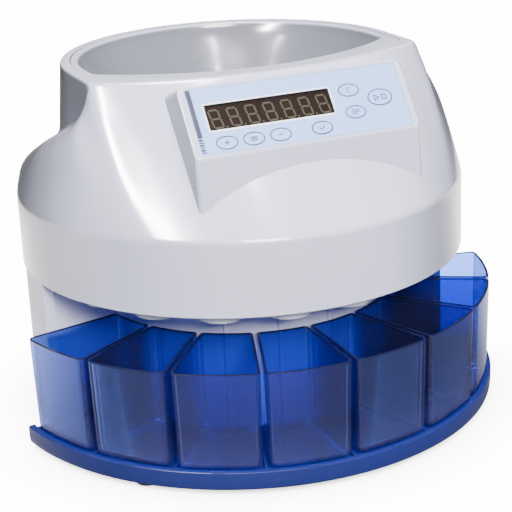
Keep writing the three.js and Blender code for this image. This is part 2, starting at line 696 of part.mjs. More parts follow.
// A bent paddle whose two faces meet over the pivot. It rests with its upper half pushed in.
function powerRocker() {
  const { switchX, y, z } = sockets;
  const { halfHeight, tilt, depth } = rocker;
  const face = 2.6;
  const ends = face + halfHeight * Math.tan(radians(tilt));
  const outline = [
    [-depth, -halfHeight + 2], [-depth, halfHeight - 2], [0, halfHeight],
    [ends, halfHeight], [face, 0], [ends, -halfHeight], [0, -halfHeight],
  ];
  const solid = acrossWidth([...outline].reverse(), -5.4, 5.4);
  return solid.rotate([tilt, 0, 0]).translate([switchX, y, z]);
}

// ---- console works, all drawn on the panel, whose surface is at height 0 ----
const overlayTop = 0;

function keypadOverlay() {
  const { halfWidth, halfHeight, thickness } = overlay;
  const holes = keys.map((key) => extrude(keyShape(key, 0), -5, 5, 7));
  return box(-halfWidth, halfWidth, -halfHeight, halfHeight, -thickness, overlayTop)
    .subtract(union([extrude(windowShape(0), -5, 5), ...holes]));
}

function keyCap(key) {
  return extrude(keyShape(key, -gap), -4, overlayTop + 0.15, 7);
}

function ledDisplay() {
  const { left, right, bottom, top, thickness } = displayWindow;
  const digits = 7;
  const pitch = (right - left - 2) / digits;
  const modules = Array.from({ length: digits }, (_, i) => {
    const start = left + 1.2 + pitch * i;
    return box(start, start + pitch - 0.4, bottom + 0.5, top - 0.5, -8.5, -thickness - 0.4);
  });
  const tie = box(left + 2, right - 2, bottom + 3, top - 3, -8.5, -7);
  return union([...modules, tie]);
}

function displayBoard() {
  const boardTop = -8.9; // just behind the digit modules
  const keyBottom = -4;
  const board = box(-72, 72, -20, 20, boardTop - boardThickness, boardTop);
  const switches = keys.map(({ x, y }) => cylinder(2.5, boardTop - 0.6, keyBottom - 0.9, x, y, 8));
  return union([board, ...switches]);
}

// From the display board down inside the shell, in front of the ring, to the sensor board.
function displayCable() {
  const path = new THREE.CatmullRomCurve3([
    around(96, 25, 212), around(118, 25, 200), around(140, 25, 176),
    around(152.6, 24, 157), around(152.8, 24, 140), around(149, 22, 126), around(146, 20, 120.5),
  ]);
  const section = new THREE.Shape().absarc(0, 0, 1.5, 0, 2 * Math.PI, false);
  const settings = { extrudePath: path, steps: 20, curveSegments: 3 };
  return toSolid(new THREE.ExtrudeGeometry(section, settings));
}

// ---- fasteners ----
// Driven from below, with its head under the base plate.
function baseScrew({ x, y }) {
  const headTop = tray.bottom - gap;
  return cylinder(1.7, headTop - 0.5, 15, x, y, 10).add(cylinder(3.4, headTop - 2, headTop, x, y, 14));
}

function footPad({ radius, angle }) {
  const { x, y } = around(radius, angle);
  const pad = turned([[0, 0], [7, 0], [8, 1], [8, tray.bottom - gap], [0, tray.bottom - gap]], 20);
  return pad.translate([x, y, 0]);
}

// ---- materials ----
const material = (color, roughness, metalness = 0) =>
  new THREE.MeshStandardMaterial({ color, roughness, metalness });
const finishes = {
  housing: () => material(0xd7d8de, 0.28),
  bowl: () => material(0xa6a8b0, 0.3),
  lowerHousing: () => material(0xbfc2d2, 0.4),
  base: () => material(0x8d9096, 0.6),
  tray: () => material(0x3c59a0, 0.35),
  cup: () => {
    const clear = material(0x3f66d8, 0.15);
    clear.transparent = true;
    clear.opacity = 0.45;
    return clear;
  },
  whitePlastic: () => material(0xe4e6ea, 0.4),
  overlay: () => material(0xcddcf2, 0.45),
  key: () => material(0xd4e0f3, 0.45),
  smokedWindow: () => material(0x2a2220, 0.15),
  ledModule: () => material(0x4a403a, 0.5),
  board: () => material(0x2c6b3c, 0.5),
  steel: () => material(0xb9bcc0, 0.3, 1),
  blackPlastic: () => material(0x1d1d20, 0.5),
  rubber: () => material(0x161616, 0.8),
  copper: () => material(0xa0622c, 0.4, 0.8),
};

// ---- assembly ----
const machine = new THREE.Group();
machine.position.y = axisY;
const consoleGroup = new THREE.Group();
consoleGroup.position.set(0, panel.y, panel.z);
consoleGroup.rotation.x = radians(panel.tilt);
machine.add(consoleGroup);

function addPart(name, solid, finish, group = machine) {
  const mesh = new THREE.Mesh(toGeometry(solid), finish());
  mesh.name = name;
  group.add(mesh);
}

addPart('upper_housing', upperHousing(), finishes.housing);
addPart('hopper_bowl', hopperBowl(), finishes.bowl);
addPart('lower_housing', lowerHousing(), finishes.lowerHousing);
addPart('base_plate', basePlate(), finishes.base);
addPart('cup_tray', cupTray(), finishes.tray);
for (let i = 0; i < cups.count; i += 1) addPart(`coin_cup_${i + 1}`, coinCup(i), finishes.cup);

addPart('chute_block', chuteBlock(), finishes.whitePlastic);
addPart('sorting_plate', sortingRing(), finishes.steel);
addPart('coin_guide_ring', tube(146, 150, sortingPlate.top + gap, 153, 0, 0, 40), finishes.whitePlastic);
addPart('rotor_disc', rotorDisc(), finishes.blackPlastic);
addPart('feed_disc', feedDisc(), finishes.rubber);
addPart('main_shaft', cylinder(shaft.radius - 0.1, shaft.bottom, shaft.top, 0, 0, 24), finishes.steel);
addPart('bearing_housing', bearingHousing(), finishes.steel);
for (const [name, bottom] of [['lower_bearing', bearing.lower], ['upper_bearing', bearing.upper]]) {
  const race = tube(shaft.radius + 0.1, bearing.radius, bottom, bottom + bearing.height, 0, 0, 24);
  addPart(name, race, finishes.steel);
}
addPart('driven_pulley', flangedPulley(pulley.driven, shaft.radius + 0.2), finishes.blackPlastic);
addPart('motor_pulley', motorPulley(), finishes.steel);
addPart('drive_belt', driveBelt(), finishes.rubber);
addPart('gear_motor', gearMotor(), finishes.steel);
addPart('motor_bracket', motorBracket(), finishes.steel);

addPart('sensor_board', sensorBoard(), finishes.board);
addPart('main_board', mainBoard(), finishes.board);
addPart('power_supply', powerSupply(), finishes.copper);
addPart('mains_inlet', mainsInlet(), finishes.blackPlastic);
addPart('switch_body', switchBody(), finishes.blackPlastic);
addPart('power_rocker', powerRocker(), finishes.blackPlastic);
addPart('display_cable', displayCable(), finishes.blackPlastic);

const windowTop = overlayTop - 0.1;
addPart('keypad_overlay', keypadOverlay(), finishes.overlay, consoleGroup);
for (const key of keys) addPart(key.name, keyCap(key), finishes.key, consoleGroup);
addPart('display_window', extrude(windowShape(-gap), windowTop - displayWindow.thickness, windowTop),
  finishes.smokedWindow, consoleGroup);
addPart('led_display', ledDisplay(), finishes.ledModule, consoleGroup);
addPart('display_board', displayBoard(), finishes.board, consoleGroup);

for (const place of footPlaces) addPart(place.name, footPad(place), finishes.rubber);
baseScrewAngles.forEach((angle, i) => {
  addPart(`base_screw_${i + 1}`, baseScrew(around(baseScrewRadius, angle)), finishes.steel);
});

export default machine;
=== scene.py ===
import json
from math import acos, asin, atan2, cos, degrees, exp, pi, radians, sin, sqrt, tan
from types import SimpleNamespace as Sizes

import bmesh
import bpy
from mathutils import Matrix, Vector


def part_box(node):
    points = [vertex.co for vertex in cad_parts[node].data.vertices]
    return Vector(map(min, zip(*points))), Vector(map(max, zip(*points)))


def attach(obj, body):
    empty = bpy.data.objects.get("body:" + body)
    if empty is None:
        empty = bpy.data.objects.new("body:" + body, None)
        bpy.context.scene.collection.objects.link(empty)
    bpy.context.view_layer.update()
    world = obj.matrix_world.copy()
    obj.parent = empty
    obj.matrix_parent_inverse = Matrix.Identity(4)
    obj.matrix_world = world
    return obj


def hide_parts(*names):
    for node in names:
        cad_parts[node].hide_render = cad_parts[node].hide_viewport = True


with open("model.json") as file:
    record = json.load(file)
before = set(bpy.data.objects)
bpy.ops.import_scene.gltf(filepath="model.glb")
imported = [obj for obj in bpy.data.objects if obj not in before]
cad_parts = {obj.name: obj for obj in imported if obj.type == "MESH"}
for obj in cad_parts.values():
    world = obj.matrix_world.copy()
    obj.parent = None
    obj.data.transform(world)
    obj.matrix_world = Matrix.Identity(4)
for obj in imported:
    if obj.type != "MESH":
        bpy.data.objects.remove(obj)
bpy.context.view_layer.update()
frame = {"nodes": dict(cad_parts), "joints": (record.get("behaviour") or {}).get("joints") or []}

MM = 0.001
joints = {joint["name"]: joint for joint in frame["joints"]}
axis_y = joints["rotor_spin"]["pos_m"][1] / MM


def cad_limits(node):
    """Lowest and highest corner of a CAD node, in mm round the sorting axis."""
    low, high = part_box(node)
    shift = Vector((0, axis_y, 0))
    return low / MM - shift, high / MM - shift


# ---- dimensions that the frame gives ----
housing_low, housing_high = cad_limits("upper_housing")
bowl_high = cad_limits("hopper_bowl")[1]
cup_low = cad_limits("coin_cup_4")[0]
chute_low, chute_high = cad_limits("chute_block")
feed_low, feed_high = cad_limits("feed_disc")
base_low, base_high = cad_limits("base_plate")
column_low, column_high = cad_limits("lower_housing")

BOWL_DROP = 0.1
RIM_HEIGHT = bowl_high.z + BOWL_DROP
SKIRT_BOTTOM = housing_low.z
SKIRT_RADIUS = housing_high.y
WALL = 2.6
# How far a cutting shape runs on past the surface that it cuts, and how deep it cuts under the panel.
CLEAR = 5.0
CUT_DEPTH = 12.0

# ---- upper housing ----
RIM_HALF_WIDTH = 120.7
RIM_CORNER_Y = -45.4
RIM_FRONT_Y = -78.1
CREASE_HEIGHT = 163.0
RIDGE_ANGLE = 42.0
SIDE_ANGLE = 80.0
SIDE_LEAN = radians(15.6)
TOWER_DRAFT = radians(5.0)
LEDGE = Sizes(height=213, fall=0.34, slope=0.6, climb=24, climb_width=1.3)

SEAM = Sizes(radius=113.5, front_y=-76.0, front_radius=182.0, gap=0.45, bottom=244.0)
OPENING = Sizes(radius=108.0, front_y=-59.0, front_radius=165.0)
THROAT = Sizes(radius=60.0, height=166.0, bottom=157.0)
BOWL = Sizes(wall=2.4, lip=2.2, outer_round=0.7, inner_round=2.0)

PANEL = Sizes(y=-108.8, z=232.6, tilt=radians(53.2), half_width=79.4, half_height=24.6)
CONSOLE = Sizes(tip=(-126.1, 173.6), back_y=-60.0, top=240.4, bottom=150.0,
                top_round=5.0, tip_round=3.2, panel_round=1.3)
OVERLAY = Sizes(half_width=74.2, half_height=22.4, thickness=0.5, corner=1.6)
WINDOW = Sizes(left=-64.6, right=22.2, bottom=-6.7, top=10.9)
KEY_SIZE = (7.6, 4.75)
KEYS = {
    "key_plus": (-56.1, -15.9, *KEY_SIZE),
    "key_batch": (-37.7, -15.9, *KEY_SIZE),
    "key_minus": (-19.3, -15.9, *KEY_SIZE),
    "key_set": (10.0, -15.6, *KEY_SIZE),
    "key_clear": (36.1, 7.4, *KEY_SIZE),
    "key_report": (36.5, -8.3, *KEY_SIZE),
    "key_start_stop": (56.6, -0.5, 9.1, 6.1),
}

CUP_COUNT = 8
CUP_PITCH = 19.66
CUP = Sizes(outer=178.5, inner=108.8, space=2.4, rim=83.2, wall=2.0, base=15.2, edge=5.0,
            outer_round=5.0, inner_round=2.5, front_draft=1.4, side_draft=0.85, foot_inset=7.0)
TRAY = Sizes(outer=180.4, inner=106.0, bottom=3.0, floor=13.0, lip=16.0, half_angle=80.5)
CORE = Sizes(radius=104.5, back_y=-16.0)
COLUMN = Sizes(outer=157.0, strip_x=149.4, strip_y=-20.0, front_angle=83.3)
CHUTE = Sizes(circle=127.5, outer=15.5, inner=14.0, plate=(101.0, 154.4), thickness=2.5,
              post=6.0, post_angles=(110, 180, 250))
SOCKET = Sizes(y=149.0, bottom=22.0, top=58.0, half_width=42.0, z=40.0)
INLET = Sizes(x=-14.0, half_width=14.0, half_height=10.0)
SWITCH = Sizes(x=22.0, half_width=7.4, half_height=11.0)


# ---- small geometry tools ----
def lerp(a, b, share):
    return a + (b - a) * share


def clamp(value, low, high):
    return max(low, min(high, value))


def quarter_turns(steps):
    """Angles from 0 to a quarter turn, in radians."""
    return [pi / 2 * step / steps for step in range(steps + 1)]


def around(radius, angle, z=0.0):
    turn = radians(angle)
    return Vector((radius * sin(turn), -radius * cos(turn), z))


def reach(angle, centre_y, radius):
    """Distance from the axis to a circle centred on the y axis, in one direction."""
    turn = radians(angle)
    across = centre_y * sin(turn)
    return -centre_y * cos(turn) + sqrt(radius**2 - across**2)


def round_corner(before, corner, after, tangent, steps):
    """Points of a quadratic curve that replaces the corner."""
    start = corner.lerp(before, min(tangent / max((before - corner).length, 1e-6), 0.5))
    end = corner.lerp(after, min(tangent / max((after - corner).length, 1e-6), 0.5))
    points = []
    for step in range(steps + 1):
        t = step / steps
        points.append((1 - t) ** 2 * start + 2 * t * (1 - t) * corner + t**2 * end)
    return points


def rounded_outline(corners, radii, steps):
    """A closed outline of 2D corners, each rounded by its own tangent length."""
    outline = []
    count = len(corners)
    for i, corner in enumerate(corners):
        before, after = Vector(corners[i - 1]), Vector(corners[(i + 1) % count])
        outline += round_corner(before, Vector(corner), after, radii[i], steps)
    return outline


def inset(points, distance):
    """A convex outline moved inwards by a distance."""
    result = []
    for i, corner in enumerate(points):
        along = (corner - points[i - 1]).normalized()
        onward = (points[(i + 1) % len(points)] - corner).normalized()
        inwards = (onward - along).normalized()
        result.append(corner + inwards * distance / abs(along.cross(inwards)))
    return result


def soften(ring, sigma):
    """A closed ring of points averaged along its length, which rounds its corners."""
    count = len(ring)
    lengths = [(ring[(i + 1) % count] - ring[i]).length for i in range(count)]
    weights = [(lengths[i - 1] + lengths[i]) / 2 for i in range(count)]
    result = []
    for i in range(count):
        total = ring[i] * weights[i]
        mass = weights[i]
        for step in (1, -1):
            distance = 0.0
            j = i
            while distance < 3 * sigma:
                distance += lengths[j] if step == 1 else lengths[j - 1]
                j = (j + step) % count
                factor = exp(-0.5 * (distance / sigma) ** 2) * weights[j]
                total = total + ring[j] * factor
                mass += factor
        result.append(total / mass)
    return result


def loft(rings, wrap=False, slots=None):
    """A closed skin over rings of the same number of points; slots gives each band its material."""
    bm = bmesh.new()
    rows = [[bm.verts.new(point) for point in ring] for ring in rings]
    count = len(rings[0])
    slots = slots or [0] * len(rows)
    next_rows = rows[1:] + rows[:1] if wrap else rows[1:]
    for low, high, slot in zip(rows, next_rows, slots):
        for i in range(count):
            j = (i + 1) % count
            bm.faces.new((low[i], low[j], high[j], high[i])).material_index = slot
    if not wrap:
        bm.faces.new(list(reversed(rows[0]))).material_index = slots[0]
        bm.faces.new(rows[-1]).material_index = slots[-1]
    bmesh.ops.recalc_face_normals(bm, faces=bm.faces)
    return bm


def prism(outline, bottom, top):
    return loft([[Vector((p[0], p[1], z)) for p in outline] for z in (bottom, top)])


def disc_solid(profile, segments, centre):
    """A solid turned from a profile that runs from bottom to top, closed by flat ends."""
    rings = []
    for r, z in profile:
        rings.append([around(r, 360 * step / segments, z) + centre for step in range(segments)])
    return loft(rings)


def sweep(profile, start, end, steps):
    """A closed profile of radius and height carried round the axis, or round part of it."""
    whole = end - start >= 360
    angles = [lerp(start, end, step / steps) for step in range(steps if whole else steps + 1)]
    return loft([[around(r, angle, z) for r, z in profile] for angle in angles], wrap=whole)


def bevel_edges(bm, edges, width, segments):
    bmesh.ops.bevel(bm, geom=list(edges), offset=width, segments=segments, profile=0.5, affect="EDGES")


def block(low, high, bevel=0.0, segments=2):
    bm = bmesh.new()
    bmesh.ops.create_cube(bm, size=1.0)
    low, high = Vector(low), Vector(high)
    bmesh.ops.transform(bm, matrix=Matrix.Diagonal((*(high - low), 1.0)), verts=bm.verts)
    bmesh.ops.translate(bm, vec=(low + high) / 2, verts=bm.verts)
    if bevel:
        bevel_edges(bm, bm.edges, bevel, segments)
    return bm


def moved(bm, matrix):
    bmesh.ops.transform(bm, matrix=matrix, verts=bm.verts)
    return bm


def turned(bm, angle):
    return moved(bm, Matrix.Rotation(radians(angle), 4, "Z"))


def join(parts, slots=None):
    """One bmesh of several; slots gives each part's material number."""
    whole = bmesh.new()
    for i, part in enumerate(parts):
        for face in part.faces:
            if slots:
                face.material_index = slots[i]
        mesh = bpy.data.meshes.new("part")
        part.to_mesh(mesh)
        part.free()
        whole.from_mesh(mesh)
        bpy.data.meshes.remove(mesh)
    return whole


def new_object(name, data):
    obj = bpy.data.objects.new(name, data)
    bpy.context.scene.collection.objects.link(obj)
    return obj


def mesh_object(name, bm):
    mesh = bpy.data.meshes.new(name)
    bm.to_mesh(mesh)
    bm.free()
    return new_object(name, mesh)


def combine(first, second, operation):
    """The exact union, difference or intersection of two closed shapes."""
    a, b = mesh_object("first", first), mesh_object("second", second)
    modifier = a.modifiers.new("combine", "BOOLEAN")
    modifier.operation = operation
    modifier.solver = "EXACT"
    modifier.object = b
    evaluated = a.evaluated_get(bpy.context.evaluated_depsgraph_get())
    result = bmesh.new()
    result.from_mesh(evaluated.to_mesh())
    evaluated.to_mesh_clear()
    for obj in (a, b):
        mesh = obj.data
        bpy.data.objects.remove(obj)
        bpy.data.meshes.remove(mesh)
    bmesh.ops.remove_doubles(result, verts=result.verts, dist=0.002)
    return result


def make_piece(bm, name, node, materials, sharp, body="root", bevel=0.0):
    """A finished object in metres of the frame, riding on a body and standing for one CAD node."""
    moved(bm, Matrix.Scale(MM, 4) @ Matrix.Translation((0, axis_y, 0)))
    obj = mesh_object(name, bm)
    mesh = obj.data
    for material in materials:
        mesh.materials.append(material)
    mesh.polygons.foreach_set("use_smooth", [True] * len(mesh.polygons))
    mesh.set_sharp_from_angle(angle=radians(sharp))
    if bevel:
        add_bevel(obj, bevel)
    obj.modifiers.new("normals", "WEIGHTED_NORMAL").keep_sharp = True
    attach(obj, body)
    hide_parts(node)


def add_bevel(obj, width):
    modifier = obj.modifiers.new("edges", "BEVEL")
    modifier.width = width * MM
    modifier.segments = 2
    modifier.limit_method = "ANGLE"
    modifier.angle_limit = radians(38)


# ---- materials ----
class Nodes:
    """The shader nodes of a new material, or of a new world if no colour is given."""

    def __init__(self, name, colour=None):
        self.owner = bpy.data.materials.new(name) if colour else bpy.data.worlds.new(name)
        self.owner.use_nodes = True
        self.tree = self.owner.node_tree
        self.tree.nodes.clear()
        if colour:
            self.owner.diffuse_color = (*colour, 1)
        self.output = self.add("OutputMaterial" if colour else "OutputWorld")
        self.place = self.add("TexCoord").outputs["Object" if colour else "Generated"]

    def add(self, kind, settings=(), **inputs):
        """A node with its settings and inputs; underscores in the inputs' names stand for spaces."""
        node = self.tree.nodes.new("ShaderNode" + kind)
        for key, value in dict(settings).items():
            setattr(node, key, value)
        for key, value in inputs.items():
            self.put(value, node.inputs[key.replace("_", " ")])
        return node

    def put(self, value, socket):
        """Sets an input to a number or colour, or links an output to it."""
        if isinstance(value, bpy.types.NodeSocket):
            self.tree.links.new(value, socket)
        elif socket.type == "RGBA":
            socket.default_value = (*value, 1)
        else:
            socket.default_value = value

    def fill(self, node, first, *values):
        """Puts values into a node's numbered inputs."""
        for i, value in enumerate(values, first):
            self.put(value, node.inputs[i])
        return node.outputs

    def axis(self, letter, vector=None):
        """One coordinate of a vector, or of the place on the object."""
        return self.add("SeparateXYZ", Vector=vector or self.place).outputs[letter]

    def noise(self, scale, detail=3.0, roughness=0.55, stretch=None, distortion=0.0):
        place = self.add("Mapping", Vector=self.place, Scale=stretch).outputs[0] if stretch else self.place
        values = {"Detail": detail, "Roughness": roughness, "Distortion": distortion}
        return self.add("TexNoise", Vector=place, Scale=scale, **values).outputs["Fac"]

    def spread(self, value, low, high, to_low=0.0, to_high=1.0):
        values = {"From Min": low, "From Max": high, "To Min": to_low, "To Max": to_high}
        return self.add("MapRange", Value=value, **values).outputs[0]

    def math(self, operation, a, b):
        return self.fill(self.add("Math", {"operation": operation}), 0, a, b)[0]

    def times(self, a, b):
        return self.math("MULTIPLY", a, b)

    def mix(self, factor, a, b):
        node = self.add("Mix", {"data_type": "RGBA"})
        self.put(factor, node.inputs[0])
        return self.fill(node, 6, a, b)[2]

    def mix_shader(self, factor, a, b):
        return self.fill(self.add("MixShader"), 0, factor, a, b)[0]

    def bump(self, height, strength, distance, normal=None):
        node = self.add("Bump", Height=height, Strength=strength, Distance=distance * MM)
        if normal:
            self.put(normal, node.inputs["Normal"])
        return node.outputs[0]

    def edges(self):
        """Near 1 on convex edges, where handling wears the surface."""
        return self.spread(self.add("NewGeometry").outputs["Pointiness"], 0.52, 0.6)

    def surface(self, colour, roughness, normal=None, **values):
        node = self.add("BsdfPrincipled", Base_Color=colour, Roughness=roughness, **values)
        if normal:
            self.put(normal, node.inputs["Normal"])
        return node.outputs[0]

    def done(self, shader):
        self.tree.links.new(shader, self.output.inputs["Surface"])
        return self.owner


def shade(colour, factor):
    return tuple(clamp(channel * factor, 0.0, 1.0) for channel in colour)


def moulded_plastic(name, colour, roughness, variation=0.03, grain=0.05, specks=True, coat=0.0,
                    specular=0.5, slant_shade=0.0, painted_shade_below=None):
    """Injection moulded plastic: faint blotches, smudges, fine ripple, pale worn edges, a few specks;
    optionally painted shade on sides seen at a slant and painted shade in a funnel below a level.
    """
    nodes = Nodes(name, colour)
    blotch = nodes.spread(nodes.noise(9.0, 4.0), 0.35, 0.65)
    base = nodes.mix(blotch, shade(colour, 1 - variation), shade(colour, 1 + variation))
    base = nodes.mix(nodes.times(nodes.edges(), 0.35), base, shade(colour, 1.12))
    # Painted shade: below the given level the colour stays dark as shade inside a funnel; above it, on the
    # lip, it is 3.4 times paler.
    if painted_shade_below:
        lip = nodes.spread(nodes.axis("Z"), painted_shade_below - 0.002, painted_shade_below)
        base = nodes.mix(lip, base, shade(colour, 3.4))
    # Painted shade: surfaces seen at a slant, other than those facing upwards, are darkened in the colour
    # itself.
    if slant_shade:
        facing = nodes.add("LayerWeight").outputs["Facing"]
        upright = nodes.axis("Z", nodes.add("NewGeometry").outputs["Normal"])
        slant = nodes.spread(facing, 0.3, 0.85, 0.0, slant_shade)
        slant = nodes.times(slant, nodes.spread(upright, 0.92, 0.6))
        base = nodes.mix(slant, base, shade(colour, 0.1))
    if specks:
        speck = nodes.spread(nodes.noise(240.0, 1.0), 0.79, 0.82)
        base = nodes.mix(nodes.times(speck, 0.45), base, shade(colour, 0.35))
    smudge = nodes.spread(nodes.noise(28.0, 5.0, 0.65), 0.4, 0.75, roughness, roughness + 0.12)
    ripple = nodes.bump(nodes.noise(45.0, 2.0), 0.08, 0.35)
    skin = nodes.bump(nodes.noise(2600.0, 2.0), grain, 0.03, ripple)
    sheen = {"Coat Weight": coat, "Coat Roughness": 0.08, "Specular IOR Level": specular}
    return nodes.done(nodes.surface(base, smudge, skin, **sheen))


CUP_TINT = (0.32, 0.44, 0.82)


def clear_blue_plastic(name, outside):
    """Clear blue plastic for one side of a wall: tinted, glossy at a slant, with a milky haze and scuffs."""
    nodes = Nodes(name, CUP_TINT)
    if outside:
        passing = nodes.add("BsdfRefraction", Color=CUP_TINT, IOR=1.0, Roughness=0.0)
    else:
        passing = nodes.add("BsdfTransparent", Color=CUP_TINT)
    shadow = nodes.add("BsdfTransparent", Color=shade(CUP_TINT, 0.8))
    low = nodes.spread(nodes.axis("Z"), 0.045, 0.018)
    scuff = nodes.spread(nodes.noise(260.0, 6.0, 0.7, (1.0, 1.0, 0.35)), 0.6, 0.72)
    scratch = nodes.spread(nodes.noise(900.0, 2.0, 0.5, (1.0, 1.0, 0.06), 0.6), 0.71, 0.76)
    wear = nodes.times(scuff, nodes.spread(low, 0.0, 1.0, 0.15, 0.9))
    marks = nodes.math("ADD", nodes.times(wear, 0.16), nodes.times(scratch, 0.06))
    veil = nodes.math("ADD", marks, nodes.spread(low, 0.0, 1.0, 0.03, 0.07))
    milky = nodes.surface(nodes.mix(marks, (0.2, 0.19, 0.36), (0.6, 0.62, 0.8)), 0.5)
    body = nodes.mix_shader(veil, passing.outputs[0], milky)
    ripple = nodes.bump(nodes.noise(40.0, 1.0), 0.05, 0.3)
    smudge = nodes.spread(nodes.noise(70.0, 4.0), 0.3, 0.8, 0.06, 0.12)
    gloss = nodes.add("BsdfGlossy", Color=(0.95, 0.92, 1.0), Normal=ripple, Roughness=smudge)
    fresnel = nodes.add("Fresnel", IOR=1.52, Normal=ripple)
    facing = nodes.mix_shader(nodes.times(fresnel.outputs[0], 0.65), body, gloss.outputs[0])
    path = nodes.add("LightPath")
    return nodes.done(nodes.mix_shader(path.outputs["Is Shadow Ray"], facing, shadow.outputs[0]))


def metal(name, colour, roughness, streaks=(1.0, 1.0, 8.0), metallic=1.0):
    """Worked metal with fine streaks, uneven gloss and bright edges."""
    nodes = Nodes(name, colour)
    streak = nodes.noise(320.0, 3.0, 0.6, streaks)
    base = nodes.mix(nodes.spread(streak, 0.3, 0.7), shade(colour, 0.88), shade(colour, 1.08))
    base = nodes.mix(nodes.times(nodes.edges(), 0.5), base, shade(colour, 1.3))
    gloss = nodes.spread(nodes.noise(55.0, 4.0), 0.3, 0.7, roughness, roughness + 0.15)
    return nodes.done(nodes.surface(base, gloss, nodes.bump(streak, 0.15, 0.05), Metallic=metallic))


def rubber(name, colour):
    nodes = Nodes(name, colour)
    dust = nodes.spread(nodes.noise(70.0, 5.0, 0.7), 0.45, 0.8)
    base = nodes.mix(nodes.times(dust, 0.5), colour, shade(colour, 2.2))
    skin = nodes.bump(nodes.noise(1400.0, 2.0), 0.25, 0.06)
    return nodes.done(nodes.surface(base, nodes.spread(dust, 0, 1, 0.6, 0.85), skin))


def circuit_board(name):
    """Green lacquered board with copper lines under the lacquer and tinned pads."""
    green = (0.03, 0.16, 0.07)
    nodes = Nodes(name, green)
    bricks = nodes.add("TexBrick", Vector=nodes.place, Scale=260.0, Mortar_Size=0.06)
    dots = nodes.add("TexVoronoi", Vector=nodes.place, Scale=300.0)
    pads = nodes.spread(dots.outputs["Distance"], 0.16, 0.12)
    base = nodes.mix(bricks.outputs["Fac"], green, (0.08, 0.3, 0.12))
    base = nodes.mix(pads, base, (0.75, 0.74, 0.7))
    raised = nodes.bump(bricks.outputs["Fac"], 0.3, 0.04)
    return nodes.done(nodes.surface(base, nodes.spread(pads, 0, 1, 0.28, 0.4), raised, Metallic=pads))


def laminated(name):
    """The stacked plates and wound wire of the transformer."""
    colour = (0.3, 0.19, 0.11)
    nodes = Nodes(name, colour)
    direction = {"bands_direction": "Y"}
    wave = nodes.add("TexWave", direction, Vector=nodes.place, Scale=330.0, Distortion=0.4).outputs["Fac"]
    base = nodes.mix(wave, shade(colour, 0.6), shade(colour, 1.2))
    gloss = nodes.spread(nodes.noise(80.0), 0.3, 0.7, 0.35, 0.55)
    return nodes.done(nodes.surface(base, gloss, nodes.bump(wave, 0.4, 0.15), Metallic=0.5))


def printed_film(name, colour):
    """Polyester film printed from behind: a fine orange-peel skin and slightly uneven ink."""
    nodes = Nodes(name, colour)
    base = nodes.mix(nodes.noise(35.0, 3.0), shade(colour, 0.985), shade(colour, 1.015))
    skin = nodes.bump(nodes.noise(1700.0, 2.0), 0.12, 0.03)
    gloss = nodes.spread(nodes.noise(120.0, 4.0), 0.35, 0.7, 0.38, 0.5)
    return nodes.done(nodes.surface(base, gloss, skin))


def smoked_glass(name):
    """Dark brown clear plastic in front of the digits."""
    tint = (0.78, 0.74, 0.73)
    nodes = Nodes(name, tint)
    passing = nodes.add("BsdfTransparent", Color=tint)
    gloss = nodes.add("BsdfGlossy", Roughness=nodes.spread(nodes.noise(90.0, 4.0), 0.3, 0.8, 0.06, 0.16))
    share = nodes.times(nodes.add("Fresnel", IOR=1.45).outputs[0], 0.8)
    return nodes.done(nodes.mix_shader(share, passing.outputs[0], gloss.outputs[0]))


HOUSING_GREY = (0.56, 0.565, 0.72)
BOWL_SHADED_GREY = (0.15, 0.153, 0.185)
COLUMN_GREY = (0.6, 0.6, 0.76)
# The bowl's funnel is painted darker than its flat lip, as painted shade inside the funnel; the lip, above
# this level in metres above the floor, is 3.4 times paler.
LIP_LEVEL = 0.2512

housing_plastic = moulded_plastic("housing_plastic", HOUSING_GREY, 0.14, coat=0.3, slant_shade=0.85)
bowl_plastic = moulded_plastic("bowl_plastic", BOWL_SHADED_GREY, 0.16, coat=0.3, painted_shade_below=LIP_LEVEL)
column_plastic = moulded_plastic("column_plastic", COLUMN_GREY, 0.32)
base_plastic = moulded_plastic("base_plastic", (0.3, 0.31, 0.34), 0.5, grain=0.2)
tray_plastic = moulded_plastic("tray_plastic", (0.012, 0.019, 0.125), 0.3, variation=0.05, specular=0.2)
chute_plastic = moulded_plastic("chute_plastic", (0.72, 0.73, 0.77), 0.34)
dark_plastic = moulded_plastic("dark_plastic", (0.022, 0.022, 0.025), 0.42, grain=0.25, specks=False)
rocker_plastic = moulded_plastic("rocker_plastic", (0.03, 0.03, 0.033), 0.25, specks=False)
cup_outside = clear_blue_plastic("cup_outside", True)
cup_inside = clear_blue_plastic("cup_inside", False)
# Painted shade: the rim faces are a near-black navy instead of clear plastic, standing for the dark edges
# that clear walls show where light runs along them.
cup_rim_painted_dark = moulded_plastic("cup_rim_painted_dark", (0.004, 0.005, 0.03), 0.12, specks=False)
overlay_film = printed_film("overlay_film", (0.32, 0.48, 0.92))
overlay_white = printed_film("overlay_white", (0.88, 0.9, 0.93))
overlay_slate = printed_film("overlay_slate", (0.03, 0.036, 0.07))
overlay_ink = printed_film("overlay_ink", (0.012, 0.013, 0.03))
smoked_window = smoked_glass("smoked_window")
module_plastic = moulded_plastic("module_plastic", (0.035, 0.022, 0.022), 0.5, specks=False)
segment_plastic = moulded_plastic("segment_plastic", (0.2, 0.23, 0.16), 0.4, specks=False)
polished_steel = metal("polished_steel", (0.62, 0.63, 0.64), 0.22)
zinc_steel = metal("zinc_steel", (0.5, 0.51, 0.52), 0.35, (1.0, 1.0, 1.0))
cast_metal = metal("cast_metal", (0.4, 0.41, 0.42), 0.5, (1.0, 1.0, 1.0), 0.9)
black_rubber = rubber("black_rubber", (0.02, 0.02, 0.02))
feed_rubber = rubber("feed_rubber", (0.035, 0.036, 0.038))
green_board = circuit_board("green_board")
transformer_finish = laminated("transformer_finish")


